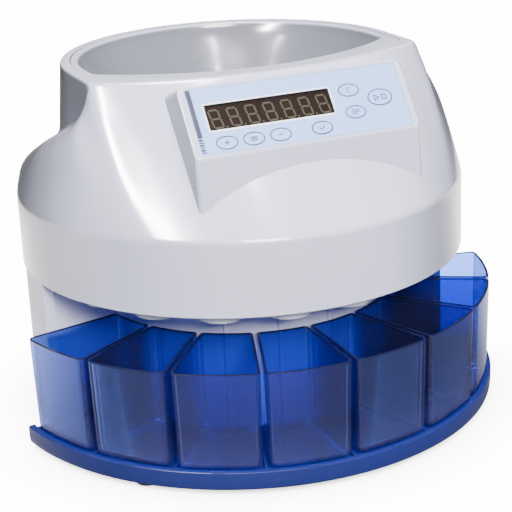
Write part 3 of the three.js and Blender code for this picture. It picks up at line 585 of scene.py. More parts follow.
# ---- upper housing ----
RIM_CORNER_ANGLE = 90 + degrees(atan2(RIM_CORNER_Y, RIM_HALF_WIDTH))
RIM_DROP = RIM_CORNER_Y - RIM_FRONT_Y
RIM_FRONT_RADIUS = (RIM_HALF_WIDTH**2 + RIM_DROP**2) / (2 * RIM_DROP)
RISE = RIM_HEIGHT - CREASE_HEIGHT
LIP_DEPTH = 6.0
# Height at which the ledge meets the tower, near enough to find where the tower stands.
LEDGE_LEVEL = 205


def rim_reach(angle, height):
    draft = (RIM_HEIGHT - height) * tan(TOWER_DRAFT)
    side = abs(angle)
    if side <= RIM_CORNER_ANGLE:
        return reach(angle, RIM_FRONT_Y + RIM_FRONT_RADIUS, RIM_FRONT_RADIUS)
    if side <= 90:
        return (RIM_HALF_WIDTH + draft) / sin(radians(side))
    return RIM_HALF_WIDTH + draft


def ridge_point(t):
    low = around(SKIRT_RADIUS, RIDGE_ANGLE)
    return Vector((lerp(low.x, RIM_HALF_WIDTH, t), lerp(-low.y, -RIM_CORNER_Y, t)))


def ridge_share(t):
    """How far the ridge's direction has turned from the crease to the rim."""
    point = ridge_point(t)
    angle = degrees(atan2(point.x, point.y))
    return (angle - RIDGE_ANGLE) / (RIM_CORNER_ANGLE - RIDGE_ANGLE)


def front_point(along, t, inward):
    """The front slope: at every level an arc from ridge to ridge."""
    end = ridge_point(t)
    middle = lerp(SKIRT_RADIUS, -RIM_FRONT_Y, t)
    rise = middle - end.y
    radius = (end.x**2 + rise**2) / (2 * rise)
    spread = asin(end.x / radius) * along
    inner = radius - inward
    return Vector((inner * sin(spread), radius - middle - inner * cos(spread), CREASE_HEIGHT + RISE * t))


def side_reach(blend, height):
    t = (height - CREASE_HEIGHT) / RISE
    cone = SKIRT_RADIUS - (height - CREASE_HEIGHT) * tan(SIDE_LEAN)
    share = clamp(blend / 0.35, 0, 1)
    return lerp(ridge_point(t).length, cone, share * share * (3 - 2 * share))


def shoulder_height(angle):
    """The ledge round the tower: it falls to the rear, and climbs to the rim at the front corners."""
    side = abs(angle)
    y = -rim_reach(angle, LEDGE_LEVEL) * cos(radians(side))
    fall = max(LEDGE.height - LEDGE.fall * y, CREASE_HEIGHT + 9)
    climb = LEDGE.climb * exp((RIM_CORNER_ANGLE - side) / LEDGE.climb_width)
    return min(fall + climb, RIM_HEIGHT - 0.8)


def ledge_edge_height(blend, angle):
    """The ledge also leans outwards, more and more towards the rear."""
    top = shoulder_height(angle)
    width = side_reach(blend, top) - rim_reach(angle, top)
    lean = LEDGE.slope * clamp((abs(angle) - 65) / 35, 0, 1)
    return max(top - lean * width, CREASE_HEIGHT + 7)


SLOPE_STEPS = 5
EDGE_STEPS = 4
# Tangent length and number of steps of each rounding, from the crease up to the rim.
CREASE_ROUND = (3.0, EDGE_STEPS)
LEDGE_ROUND = (20.0, 9)
TOWER_ROUND = (5.0, 7)
RIM_ROUND = (2.2, EDGE_STEPS)


def side_line(crease_angle, rim_angle, blend, inward, bottom):
    """One line up the side, from the skirt's lower edge to the flat top: skirt, slope, ledge, tower, rim."""
    top = RIM_HEIGHT - inward
    ledge = shoulder_height(rim_angle) - inward
    edge = ledge_edge_height(blend, rim_angle)
    skirt = SKIRT_RADIUS - inward
    tower = rim_reach(rim_angle, RIM_HEIGHT) - inward
    corners = [
        Vector((skirt, bottom)),
        Vector((skirt, CREASE_HEIGHT - inward / 3)),
        Vector((side_reach(blend, edge) - inward, edge - inward)),
        Vector((rim_reach(rim_angle, ledge) - inward, ledge)),
        Vector((tower, top)),
        Vector((tower - LIP_DEPTH, top)),
    ]
    crease = round_corner(*corners[0:3], *CREASE_ROUND)
    outer = round_corner(*corners[1:4], *LEDGE_ROUND)
    inner = round_corner(*corners[2:5], *TOWER_ROUND)
    rim = round_corner(*corners[3:6], *RIM_ROUND)
    slope = [crease[-1].lerp(outer[0], (i + 1) / (SLOPE_STEPS + 1)) for i in range(SLOPE_STEPS)]
    wall = [inner[-1].lerp(rim[0], 0.5)]
    line = [corners[0], *crease, *slope, *outer, *inner, *wall, *rim, corners[5]]
    reach_at_ledge = max((ledge - CREASE_HEIGHT) / RISE, 0.01)
    points = []
    for r, z in line:
        t = clamp((z - CREASE_HEIGHT) / RISE / reach_at_ledge, 0, 1)
        angle = lerp(crease_angle, rim_angle, ridge_share(t)) if blend < 1 else rim_angle
        points.append(around(r, angle, z))
    return points


FRONT_THICKENING = 1.3


def front_line(along, inward, bottom, levels):
    """One line up the front slope, with as many points as a side line."""
    inset_depth = inward * FRONT_THICKENING
    low = front_point(along, 0, inset_depth)
    high = front_point(along, 1, inset_depth)
    high.z = RIM_HEIGHT - inward
    foot = Vector((low.x, low.y, bottom))
    back = Vector((high.x, high.y, 0)).normalized() * LIP_DEPTH
    crease = round_corner(foot, low, high, *CREASE_ROUND)
    rim = round_corner(low, high, high - back, *RIM_ROUND)
    line = [foot, *crease]
    for level in levels:
        height = lerp(crease[-1].z, rim[0].z, level)
        line.append(front_point(along, (height - CREASE_HEIGHT) / RISE, inset_depth))
    return [*line, *rim, high - back]


FRONT_HALF_COLUMNS = 18
CORNER_COLUMNS = 22
BACK_COLUMNS = 56
SKIRT_SOFTNESS = 9.0
RIM_SOFTNESS = 4.0


def shell_skin(inward, bottom, bottom_edge=0.0):
    """The closed skin of the whole shell, moved inwards by a distance."""
    ridge_line = side_line(RIDGE_ANGLE, RIM_CORNER_ANGLE, 0.0, inward, bottom)
    slope_line = ridge_line[EDGE_STEPS + 1 : -EDGE_STEPS - 1]
    low, high = slope_line[0].z, slope_line[-1].z
    levels = [(point.z - low) / (high - low) for point in slope_line[1:-1]]

    def corner_line(blend, side):
        crease_angle = side * lerp(RIDGE_ANGLE, SIDE_ANGLE, blend)
        rim_angle = side * lerp(RIM_CORNER_ANGLE, SIDE_ANGLE, blend)
        return side_line(crease_angle, rim_angle, blend, inward, bottom)

    lines = []
    for i in range(-FRONT_HALF_COLUMNS, FRONT_HALF_COLUMNS + 1):
        share = i / FRONT_HALF_COLUMNS
        along = (share + sin(share * pi / 2)) / 2
        lines.append(front_line(along, inward, bottom, levels))
    shares = [i / CORNER_COLUMNS for i in range(1, CORNER_COLUMNS + 1)]
    blends = [0.4 * share + 0.6 * share**2 for share in shares]
    lines += [corner_line(blend, 1) for blend in blends]
    for i in range(1, BACK_COLUMNS + 1):
        angle = lerp(SIDE_ANGLE, 360 - SIDE_ANGLE, i / BACK_COLUMNS)
        angle = angle - 360 if angle > 180 else angle
        lines.append(side_line(angle, angle, 1.0, inward, bottom))
    lines += [corner_line(blend, -1) for blend in reversed(blends[:-1])]
    rings = []
    for level in range(len(lines[0])):
        ring = [line[level] for line in lines]
        height = max(point.z for point in ring)
        share = clamp((height - CREASE_HEIGHT) / RISE, 0, 1)
        rings.append(soften(ring, lerp(SKIRT_SOFTNESS, RIM_SOFTNESS, share)))
    if bottom_edge:
        smaller = 1 - bottom_edge / SKIRT_RADIUS
        foot = [Vector((p.x * smaller, p.y * smaller, p.z)) for p in rings[0]]
        raised = [p + Vector((0, 0, bottom_edge)) for p in rings[0]]
        rings[:1] = [foot, raised]
    return loft(rings)


BOWL_COLUMNS = 144


def bowl_outline(shape, extra=0.0):
    """A circle with its front cut off by a flatter arc, corners softened."""
    radius, front_y = shape.radius + extra, shape.front_y - extra
    points = []
    for i in range(BOWL_COLUMNS):
        angle = -180 + 360 * i / BOWL_COLUMNS
        distance = radius
        if abs(angle) < 90:
            front = reach(angle, front_y + shape.front_radius, shape.front_radius)
            side = radius / max(sin(radians(abs(angle))), 0.6)
            distance = min(front, side)
        points.append(around(distance, angle))
    return soften(points, 4.0)


PANEL_FRAME = Matrix.Translation((0, PANEL.y, PANEL.z)) @ Matrix.Rotation(PANEL.tilt, 4, "X")


def on_panel(bm):
    """Moves a shape drawn on the panel, x right, y up the panel and z out of it, to its place."""
    return moved(bm, PANEL_FRAME)


def console_solid(inward=0.0):
    """The console's block across the front slope; the outer one has rounded corners."""
    up = Vector((cos(PANEL.tilt), sin(PANEL.tilt))) * PANEL.half_height
    centre = Vector((PANEL.y, PANEL.z))
    back_top, back_bottom = (Vector((CONSOLE.back_y, z)) for z in (CONSOLE.top, CONSOLE.bottom))
    outline = [back_top, centre + up, centre - up, Vector(CONSOLE.tip), back_bottom]
    if inward:
        outline = inset(outline, inward)
    half = PANEL.half_width - inward
    bm = loft([[Vector((x, p.x, p.y)) for p in outline] for x in (-half, half)])
    if inward:
        return bm

    def edges_between(first, second):
        """The edges that join two outline corners on both side faces."""
        chosen = []
        for edge in bm.edges:
            ends = [Vector((v.co.y, v.co.z)) for v in edge.verts]
            ends.sort(key=lambda end: (end - first).length)
            if (ends[0] - first).length < 0.01 and (ends[1] - second).length < 0.01:
                chosen.append(edge)
        return chosen

    bevel_edges(bm, edges_between(outline[1], outline[0]), CONSOLE.top_round, 7)
    bevel_edges(bm, edges_between(outline[2], outline[3]), CONSOLE.tip_round, 6)
    normal = Vector((0, -sin(PANEL.tilt), cos(PANEL.tilt)))
    panel_edges = set()
    for face in bm.faces:
        face.normal_update()
        if face.normal.dot(normal) > 0.999:
            panel_edges.update(face.edges)
    bevel_edges(bm, panel_edges, CONSOLE.panel_round, 4)
    return bm


def ellipse(x, y, rx, ry, count=40):
    turns = [2 * pi * i / count for i in range(count)]
    return [(x + rx * cos(turn), y + ry * sin(turn)) for turn in turns]


def window_outline(extra, corner=0.5):
    left, right = WINDOW.left - extra, WINDOW.right + extra
    bottom, top = WINDOW.bottom - extra, WINDOW.top + extra
    return rounded_outline([(left, bottom), (right, bottom), (right, top), (left, top)], [corner] * 4, 3)


def overlay_outline(extra):
    w, h = OVERLAY.half_width + extra, OVERLAY.half_height + extra
    return rounded_outline([(-w, -h), (w, -h), (w, h), (-w, h)], [OVERLAY.corner] * 4, 5)


def build_upper_housing():
    outside = combine(shell_skin(0.0, SKIRT_BOTTOM, 0.8), console_solid(), "UNION")
    inside = combine(shell_skin(WALL, SKIRT_BOTTOM - 1), console_solid(WALL), "UNION")
    shell = combine(outside, inside, "DIFFERENCE")
    bowl_hole = prism(bowl_outline(SEAM, SEAM.gap), SEAM.bottom, RIM_HEIGHT + CLEAR)
    shell = combine(shell, bowl_hole, "DIFFERENCE")
    recess = on_panel(prism(overlay_outline(0.3), -OVERLAY.thickness - 0.1, CLEAR))
    shell = combine(shell, recess, "DIFFERENCE")
    holes = [window_outline(0.3)]
    holes += [ellipse(x, y, rx + 0.3, ry + 0.3) for x, y, rx, ry in KEYS.values()]
    shell = combine(shell, join([on_panel(prism(hole, -CUT_DEPTH, CLEAR)) for hole in holes]), "DIFFERENCE")
    make_piece(shell, "upper_housing_shell", "upper_housing", [housing_plastic], 30)


# ---- hopper bowl ----
BOWL_LEVELS = 22


def at_radius(p, radius, z):
    """A point in the same direction from the axis, at another distance and height."""
    return Vector((p.x * radius / p.length, p.y * radius / p.length, z))


def build_bowl():
    seam, opening = bowl_outline(SEAM), bowl_outline(OPENING)
    top = RIM_HEIGHT - BOWL_DROP
    outer_round, edge = BOWL.outer_round, BOWL.inner_round

    def grown(outline, outward, z):
        return [at_radius(p, p.length + outward, z) for p in outline]

    def funnel(level, outward, drop):
        share = sin(level * pi / 2) ** 1.25
        height = lerp(RIM_HEIGHT - edge, THROAT.height, level) - drop
        return [at_radius(p, lerp(p.length, THROAT.radius, share) + outward, height) for p in opening]

    rings = [grown(seam, 0, top - BOWL.lip)]
    for turn in quarter_turns(3):
        rings.append(grown(seam, -outer_round * (1 - cos(turn)), top - outer_round * (1 - sin(turn))))
    for turn in quarter_turns(5):
        rings.append(grown(opening, edge - edge * sin(turn), top - edge * (1 - cos(turn))))
    levels = [(i / BOWL_LEVELS) ** 1.3 for i in range(1, BOWL_LEVELS + 1)]
    rings += [funnel(level, 0, 0) for level in levels]
    bottom = THROAT.bottom
    for outward, z in ((0, bottom + 0.6), (0.6, bottom), (BOWL.wall, bottom)):
        rings.append([at_radius(p, THROAT.radius + outward, z) for p in opening])
    rings += [funnel(level, BOWL.wall, 0.9) for level in reversed(levels[1:])]
    rings.append(grown(opening, BOWL.wall, top - BOWL.lip - 1.5))
    rings.append(grown(opening, BOWL.wall + 1, top - BOWL.lip))
    make_piece(loft(rings, wrap=True), "hopper_bowl_insert", "hopper_bowl", [bowl_plastic], 40)


# ---- lower housing and base ----
COLUMN_STEPS = 44


def column_outline(inward=0.0):
    """The core's round front, the straight walls beside it and the column's round back."""
    outer = COLUMN.outer - inward
    core = CORE.radius - inward
    back_y = CORE.back_y + inward

    def angle_at(radius):
        return degrees(acos(-back_y / radius))

    front_angle = angle_at(outer) if inward else COLUMN.front_angle
    core_angle = angle_at(core)
    shares = [i / COLUMN_STEPS for i in range(COLUMN_STEPS + 1)]
    points = [around(core, lerp(-core_angle, core_angle, share)) for share in shares]
    strip = [Vector((COLUMN.strip_x, back_y, 0)), Vector((COLUMN.strip_x, COLUMN.strip_y, 0))]
    if not inward:
        points += strip
    shares = [i / COLUMN_STEPS / 2 for i in range(2 * COLUMN_STEPS + 1)]
    points += [around(outer, lerp(front_angle, 360 - front_angle, share)) for share in shares]
    if not inward:
        points += [Vector((-p.x, p.y, 0)) for p in reversed(strip)]
    return points


CORE_RIB_ANGLES = (-30, -10, 10, 30)
BASE_SCREW_ANGLES = (-150, -100, 100, 150)
BASE_SCREW_RADIUS = 149.0
SCREW_BOSS = Sizes(radius=6.4, top=18.0, chamfer=0.6)
# Where the shapes that cut through the column end, well behind its back.
BEHIND_COLUMN = COLUMN.outer + 15


def socket_cut(part):
    """The opening behind the recessed panel for the inlet or the switch."""
    x, z, w, h = part.x, SOCKET.z, part.half_width, part.half_height
    return block((x - w, SOCKET.y - 11, z - h), (x + w, SOCKET.y + 1.6, z + h))


def build_lower_housing():
    low, high = column_low.z, column_high.z
    y, bottom, top, half = SOCKET.y, SOCKET.bottom, SOCKET.top, SOCKET.half_width
    hollow = prism(column_outline(WALL), low - 1, high + 1)
    shell = combine(prism(column_outline(), low, high), hollow, "DIFFERENCE")
    panel = block((-half - WALL, y - WALL, bottom - WALL), (half + WALL, BEHIND_COLUMN, top + WALL))
    panel = combine(panel, prism(column_outline(), low, high), "INTERSECT")
    shell = combine(shell, panel, "UNION")
    details = []
    for angle in CORE_RIB_ANGLES:
        rib = block((-1.4, -CORE.radius - 2.2, low + 6), (1.4, -CORE.radius + 1, high - 1), 0.8)
        details.append(turned(rib, angle))
    for angle in BASE_SCREW_ANGLES:
        r, boss_top, chamfer = SCREW_BOSS.radius, SCREW_BOSS.top, SCREW_BOSS.chamfer
        boss = [(r, low), (r, boss_top - chamfer), (r - chamfer, boss_top)]
        details.append(disc_solid(boss, 28, around(BASE_SCREW_RADIUS, angle)))
    shell = combine(shell, join(details), "UNION")
    recess = block((-half, y, bottom), (half, BEHIND_COLUMN, top), 1.5, 3)
    for cut in (recess, socket_cut(INLET), socket_cut(SWITCH)):
        shell = combine(shell, cut, "DIFFERENCE")
    make_piece(shell, "lower_housing_shell", "lower_housing", [column_plastic], 30, bevel=0.5)


def build_base():
    plate = prism(column_outline(), base_low.z, base_high.z)
    make_piece(plate, "base_plate_moulding", "base_plate", [base_plastic], 30, bevel=0.5)


# ---- cup tray ----
def cup_angle(index):
    return (index - (CUP_COUNT - 1) / 2) * CUP_PITCH


def build_tray():
    outer, inner, lip, floor = TRAY.outer, TRAY.inner, TRAY.lip, TRAY.floor
    bottom, limit = TRAY.bottom, TRAY.half_angle
    corners = [(inner, bottom), (outer - 0.8, bottom), (outer, floor - 6), (outer, lip)]
    corners += [(outer - 5, lip), (outer - 5.6, floor), (inner, floor)]
    profile = rounded_outline(corners, [0.5, 1.6, 2, 1.1, 0.9, 0.9, 0.5], 3)
    tray = sweep(profile, -limit, limit, 72)
    details = []
    for i in range(CUP_COUNT + 1):
        rib = block((-1, -outer + 3, floor - 1), (1, -inner - 2, lip - 0.05), 0.6)
        details.append(turned(rib, (i - CUP_COUNT / 2) * CUP_PITCH))
    for i in range(CUP_COUNT):
        nub = block((-4.5, -outer + 0.3, lip - 1), (4.5, -outer + 2.3, lip + 1), 0.7)
        details.append(turned(nub, cup_angle(i)))
    tray = combine(tray, join(details), "UNION")
    make_piece(tray, "cup_tray_moulding", "cup_tray", [tray_plastic], 32)


# ---- coin cups ----
def cup_ring(inward, z):
    """Outline of a cup that points to the front, moved inwards all round, with rounded corners."""
    below = (CUP.rim - z) / (CUP.rim - CUP.base)
    outer = CUP.outer - inward - CUP.front_draft * below
    inner = CUP.inner + inward
    half = CUP_PITCH / 2
    offset = CUP.space / 2 + inward + CUP.side_draft * below
    outer_round = max(CUP.outer_round - inward, 2)
    inner_round = max(CUP.inner_round - inward, 1)
    outer_turn = half - degrees(asin((offset + outer_round) / (outer - outer_round)))
    inner_turn = half - degrees(asin((offset + inner_round) / (inner + inner_round)))
    ring = []

    def corner(distance, angle, radius, start, end, steps):
        centre = around(distance, angle)
        for step in range(steps + 1):
            turn = radians(lerp(start, end, step / steps))
            ring.append(Vector((centre.x + radius * cos(turn), centre.y + radius * sin(turn), z)))

    for step in range(1, 12):
        ring.append(around(outer, lerp(-outer_turn, outer_turn, step / 12), z))
    corner(outer - outer_round, outer_turn, outer_round, outer_turn - 90, half, 9)
    corner(inner + inner_round, inner_turn, inner_round, half, inner_turn + 90, 6)
    for step in range(1, 8):
        ring.append(around(inner, lerp(inner_turn, -inner_turn, step / 8), z))
    corner(inner + inner_round, -inner_turn, inner_round, 90 - inner_turn, 180 - half, 6)
    corner(outer - outer_round, -outer_turn, outer_round, 180 - half, 270 - outer_turn, 9)
    return ring


OUTSIDE, INSIDE, RIM = 0, 1, 2


def cup_shape():
    """Foot, rounded underside, walls, rim and hollow of one cup, with a material for each side."""
    rim, base, edge, wall, foot = CUP.rim, CUP.base, CUP.edge, CUP.wall, CUP.foot_inset
    inner_edge, floor = edge - wall, base + wall
    rings, sides = [], []

    def level(inward, z, side=OUTSIDE):
        rings.append(cup_ring(inward, z))
        sides.append(side)

    level(foot + 0.5, cup_low.z)
    level(foot, cup_low.z + 0.5)
    level(foot, base)
    for turn in quarter_turns(6):
        level(edge * (1 - sin(turn)), base + edge * (1 - cos(turn)))
    for share in (0.25, 0.5, 0.75):
        level(0, lerp(base + edge, rim - 0.5, share))
    for inward, drop in ((0, 0.6), (0.15, 0.18), (0.6, 0), (1.4, 0), (1.85, 0.18)):
        level(inward, rim - drop, RIM)
    for share in (0, 0.25, 0.5, 0.75, 1):
        level(wall, lerp(rim - 0.6, floor + inner_edge, share), INSIDE)
    for turn in quarter_turns(5)[1:]:
        level(wall + inner_edge * (1 - cos(turn)), floor + inner_edge * (1 - sin(turn)), INSIDE)
    return loft(rings, slots=sides)


def build_cups():
    for index in range(CUP_COUNT):
        cup = turned(cup_shape(), cup_angle(index))
        node = f"coin_cup_{index + 1}"
        finish = [cup_outside, cup_inside, cup_rim_painted_dark]
        make_piece(cup, f"{node}_clear", node, finish, 40, f"cup_{index + 1}")


# ---- chutes and the feed disc ----
def build_chutes():
    plate_low, plate_high = SKIRT_BOTTOM, SKIRT_BOTTOM + CHUTE.thickness
    low, top, post = chute_low.z, chute_high.z, CHUTE.post
    places = [around(CHUTE.circle, cup_angle(i)) for i in range(CUP_COUNT)]
    hole, edge = CHUTE.plate
    plate = sweep([(hole, plate_low), (edge, plate_low), (edge, plate_high), (hole, plate_high)], 0, 360, 96)
    r = CHUTE.outer
    bodies = [disc_solid([(r - 0.5, low), (r, low + 0.5), (r, top)], 40, place) for place in places]
    for angle in CHUTE.post_angles:
        profile = [(post, plate_low), (post, top - 0.5), (post - 0.5, top)]
        bodies.append(disc_solid(profile, 24, around(CHUTE.circle, angle)))
    tubes = combine(plate, join(bodies), "UNION")
    r = CHUTE.inner
    bore = [(r + 0.6, low - 1), (r + 0.6, low), (r, low + 0.6), (r, top + 1)]
    tubes = combine(tubes, join([disc_solid(bore, 40, place) for place in places]), "DIFFERENCE")
    make_piece(tubes, "chute_tubes", "chute_block", [chute_plastic], 32)


FEED_RIBS = 8


def build_feed_disc():
    """A rubber-faced disc whose low ribs push the coins outwards."""
    low, high = feed_low.z, feed_high.z
    bore, radius = 6.3, feed_high.x
    profile = [(bore, low), (radius - 0.6, low), (radius, low + 0.5), (radius - 0.6, low + 1.3)]
    profile += [(40, low + 2.6), (20, low + 4.4), (12, high - 0.8)]
    profile += [(bore + 0.6, high - 0.3), (bore, high - 0.8)]
    disc = sweep(profile, 0, 360, 96)
    ribs = []
    for i in range(FEED_RIBS):
        rib = block((-1.1, -radius + 4, low + 1), (1.1, -18, low + 3.4), 0.7)
        ribs.append(turned(rib, 360 * i / FEED_RIBS))
    disc = combine(disc, join(ribs), "UNION")
    make_piece(disc, "feed_disc_pad", "feed_disc", [feed_rubber], 34, "rotor")


# ---- console parts ----
INK_HEIGHT = 0.05
INK_DEPTH = 0.05
INK_WIDTH = 0.6


def ring_band(x, y, rx, ry, width, depth, start=0.0, end=360.0, count=48):
    """A printed line along an ellipse or part of one."""
    rings = []
    closed = end - start >= 360
    steps = count if closed else count - 1
    for i in range(count):
        turn = radians(lerp(start, end, i / steps))
        section = []
        for inward, z in ((0, -depth), (width, -depth), (width, INK_HEIGHT), (0, INK_HEIGHT)):
            point = (x + (rx - inward) * cos(turn), y + (ry - inward) * sin(turn), z)
            section.append(Vector(point))
        rings.append(section)
    return loft(rings, wrap=closed)


def stroke(first, last):
    """A printed straight line from one point to the other, as a thin bar."""
    start, end = Vector(first), Vector(last)
    along = (end - start).normalized() * INK_WIDTH / 2
    side = Vector((-along.y, along.x))
    start, end = start - along, end + along
    return prism([start - side, end - side, end + side, start + side], -INK_DEPTH, INK_HEIGHT)


# A plain sign for each key: lines through points, in mm from the key's middle.
SIGNS = {
    "key_plus": [[(-1.5, 0), (1.5, 0)], [(0, -1.5), (0, 1.5)]],
    "key_minus": [[(-1.3, 0), (1.3, 0)]],
    "key_batch": [[(-2, y), (2, y)] for y in (-1.1, 0, 1.1)],
    "key_set": [[(-1.8, 0.1), (-0.5, -1.2), (2, 1.4)]],
    "key_report": [[(-2.4, 1.3), (2.4, 1.3)], [(-2.4, 0), (2.4, 0)], [(-2.4, -1.3), (0.6, -1.3)]],
    "key_start_stop": [
        [(-4, -1.8), (-4, 1.8), (-0.9, 0), (-4, -1.8)],
        [(1.4, -1.6), (1.4, 1.6), (4.4, 1.6), (4.4, -1.6), (1.4, -1.6)],
    ],
}
KEY_LIFT = 0.15


def key_sign(name, x, y):
    """The lines of a key's sign; the clear key has an open ring instead."""
    if name not in SIGNS:
        return [ring_band(x, y, 1.5, 1.9, 0.5, INK_DEPTH, 40, 320, 20)]
    parts = []
    for line in SIGNS[name]:
        for first, last in zip(line, line[1:]):
            parts.append(moved(stroke(first, last), Matrix.Translation((x, y, 0))))
    return parts


def build_keys():
    for name, (x, y, rx, ry) in KEYS.items():
        rings = []
        for inward, z in ((0.12, -4.0), (0.12, 0.0), (0.3, 0.12), (0.5, KEY_LIFT)):
            rings.append([Vector((px, py, z)) for px, py in ellipse(x, y, rx - inward, ry - inward, 56)])
        ink = [ring_band(x, y, rx - 0.2, ry - 0.2, 0.65, depth=0.1)] + key_sign(name, x, y)
        ink = [moved(part, Matrix.Translation((0, 0, KEY_LIFT))) for part in ink]
        cap = on_panel(join([loft(rings)] + ink, [0] + [1] * len(ink)))
        make_piece(cap, f"{name}_cap", name, [overlay_film, overlay_ink], 30, name)


def printed_box(left, low, right, high):
    return prism([(left, low), (right, low), (right, high), (left, high)], -0.1, INK_HEIGHT)


STRIPE = Sizes(left=-74.0, right=-70.9, bottom=-10.7, top=22.2, gap=0.55)
STRIPE_BARS = (1.5, 0.9, 1.4, 0.7, 1.5, 0.9)


def build_overlay():
    """The foil with its cut-outs, a white border round the window, and a stripe that ends in short bars."""
    sheet = prism(overlay_outline(0.0), -OVERLAY.thickness, 0.0)
    window = window_outline(0.0)
    holes = [ellipse(x, y, rx, ry, 56) for x, y, rx, ry in KEYS.values()] + [window]
    sheet = combine(sheet, join([prism(hole, -CLEAR, CLEAR) for hole in holes]), "DIFFERENCE")
    border = prism(window_outline(1.1, 0.8), -0.1, INK_HEIGHT)
    border = combine(border, prism(window, -CLEAR, CLEAR), "DIFFERENCE")
    left, right, top = STRIPE.left, STRIPE.right, STRIPE.bottom - 0.6
    stripe = [printed_box(left, STRIPE.bottom, right, STRIPE.top)]
    for i, height in enumerate(STRIPE_BARS):
        stripe.append(printed_box(left, top - height, right if i % 2 else right - 0.5, top))
        top -= height + STRIPE.gap
    foil = on_panel(join([sheet, border] + stripe, [0, 1] + [2] * len(stripe)))
    inks = [overlay_film, overlay_white, overlay_slate]
    make_piece(foil, "keypad_overlay_film", "keypad_overlay", inks, 30)


DIGITS = 7
DIGIT = Sizes(pitch=12.45, first_x=-60.5, low_y=-4.7, width=6.3, height=13.4, stroke=1.25)
DIGIT_SLANT = 1.8 / 13.8
DISPLAY = Sizes(bottom=-8.5, top=-1.65, joint=-27.7, space=0.6, end_space=0.5)


def build_display():
    """Two digit blocks behind the window, each segment a small pale bar with pointed ends."""
    top, joint, gap = DISPLAY.top, DISPLAY.joint, 0.12
    low_y, high_y = WINDOW.bottom + DISPLAY.end_space, WINDOW.top - DISPLAY.end_space
    left, right = WINDOW.left + DISPLAY.space, WINDOW.right - DISPLAY.space
    bodies = []
    for start, end in ((left, joint - gap), (joint + gap, right)):
        bodies.append(block((start, low_y, DISPLAY.bottom), (end, high_y, top), 0.15))
    segments = []

    def bar(first_x, x0, y0, x1, y1):
        start, end = Vector((x0, y0)), Vector((x1, y1))
        along = (end - start).normalized()
        tip = along * DIGIT.stroke / 2
        side = Vector((-tip.y, tip.x))
        start, end = start + along * 0.16, end - along * 0.16
        outline = [start, start + tip - side, end - tip - side, end, end - tip + side, start + tip + side]
        placed = [(first_x + p.x - p.y * DIGIT_SLANT, DIGIT.low_y + p.y) for p in outline]
        segments.append(prism(placed, top - 0.1, top + 0.06))

    w, h = DIGIT.width, DIGIT.height - DIGIT.stroke
    for digit in range(DIGITS):
        first_x = DIGIT.first_x + DIGIT.pitch * digit
        for y in (0, h / 2, h):
            bar(first_x, 0, y, w, y)
        for x in (0, w):
            bar(first_x, x, 0, x, h / 2)
            bar(first_x, x, h / 2, x, h)
        dot = ellipse(first_x + w + 2.1, DIGIT.low_y, 0.65, 0.65, 16)
        segments.append(prism(dot, top - 0.1, top + 0.06))
    blocks = on_panel(join(bodies + segments, [0] * len(bodies) + [1] * len(segments)))
    inks = [module_plastic, segment_plastic]
    make_piece(blocks, "led_digit_blocks", "led_display", inks, 30)


# ---- feet and screws ----
FEET = {
    "foot_front_left": (169.0, -46.6),
    "foot_front_right": (169.0, 46.6),
    "foot_rear_left": (140.0, -140.0),
    "foot_rear_right": (140.0, 140.0),
}


def build_feet():
    for name, (radius, angle) in FEET.items():
        profile = [(6.6, 0), (7.4, 0.25), (8, 1), (8, 2.5), (7.8, 2.7)]
        pad = disc_solid(profile, 48, around(radius, angle))
        make_piece(pad, f"{name}_pad", name, [black_rubber], 40)


def build_screws():
    """Domed heads with a cross recess, driven from below."""
    for i, angle in enumerate(BASE_SCREW_ANGLES):
        node = f"base_screw_{i + 1}"
        place = around(BASE_SCREW_RADIUS, angle)
        low, high = (limit.z for limit in cad_limits(node))
        head_top = base_low.z - 0.3
        profile = [(2.2, low), (3.0, low + 0.35), (3.4, low + 1.1), (3.4, head_top)]
        profile += [(1.7, head_top + 0.1), (1.7, high - 1.5), (0.6, high)]
        screw = disc_solid(profile, 32, place)
        for turn in (0, 90):
            slot = turned(block((-1.9, -0.35, low - 1), (1.9, 0.35, low + 0.9)), turn)
            screw = combine(screw, moved(slot, Matrix.Translation(place)), "DIFFERENCE")
        make_piece(screw, f"{node}_steel", node, [zinc_steel], 35)


# ---- parts that keep their CAD shape ----
# Finish, width of the bevelled edges, and the CAD nodes that wear it.
KEPT_NODES = [
    (polished_steel, 0.2, ["sorting_plate", "motor_pulley"]),
    (polished_steel, 0.3, ["lower_bearing", "upper_bearing"]),
    (polished_steel, 0.4, ["main_shaft"]),
    (cast_metal, 0.3, ["bearing_housing"]),
    (zinc_steel, 0.3, ["motor_bracket"]),
    (zinc_steel, 0.5, ["gear_motor"]),
    (chute_plastic, 0.3, ["coin_guide_ring"]),
    (dark_plastic, 0.2, ["driven_pulley"]),
    (dark_plastic, 0.35, ["mains_inlet", "switch_body"]),
    (dark_plastic, 0.4, ["rotor_disc"]),
    (dark_plastic, 0.0, ["display_cable"]),
    (rocker_plastic, 0.5, ["power_rocker"]),
    (black_rubber, 0.2, ["drive_belt"]),
    (green_board, 0.15, ["sensor_board", "display_board"]),
    (green_board, 0.2, ["main_board"]),
    (transformer_finish, 0.6, ["power_supply"]),
    (smoked_window, 0.12, ["display_window"]),
]


def finish_kept_nodes():
    for material, edge, names in KEPT_NODES:
        for name in names:
            node = frame["nodes"][name]
            for slot in node.material_slots:
                slot.material = material
            if edge:
                add_bevel(node, edge)


build_upper_housing()
build_bowl()
build_lower_housing()
build_base()
build_tray()
build_cups()
build_chutes()
build_feed_disc()
build_keys()
build_overlay()
build_display()
build_feet()
build_screws()
finish_kept_nodes()


# ---- floor, light and camera ----
SEEN_THROUGH = 0.25
BACKDROP = 15.0
BACK_GLOW = 0.5
FLOOR_GLOW = 4.0
ROOM_GLOW = 0.05
FLOOR_HALF = 6.0


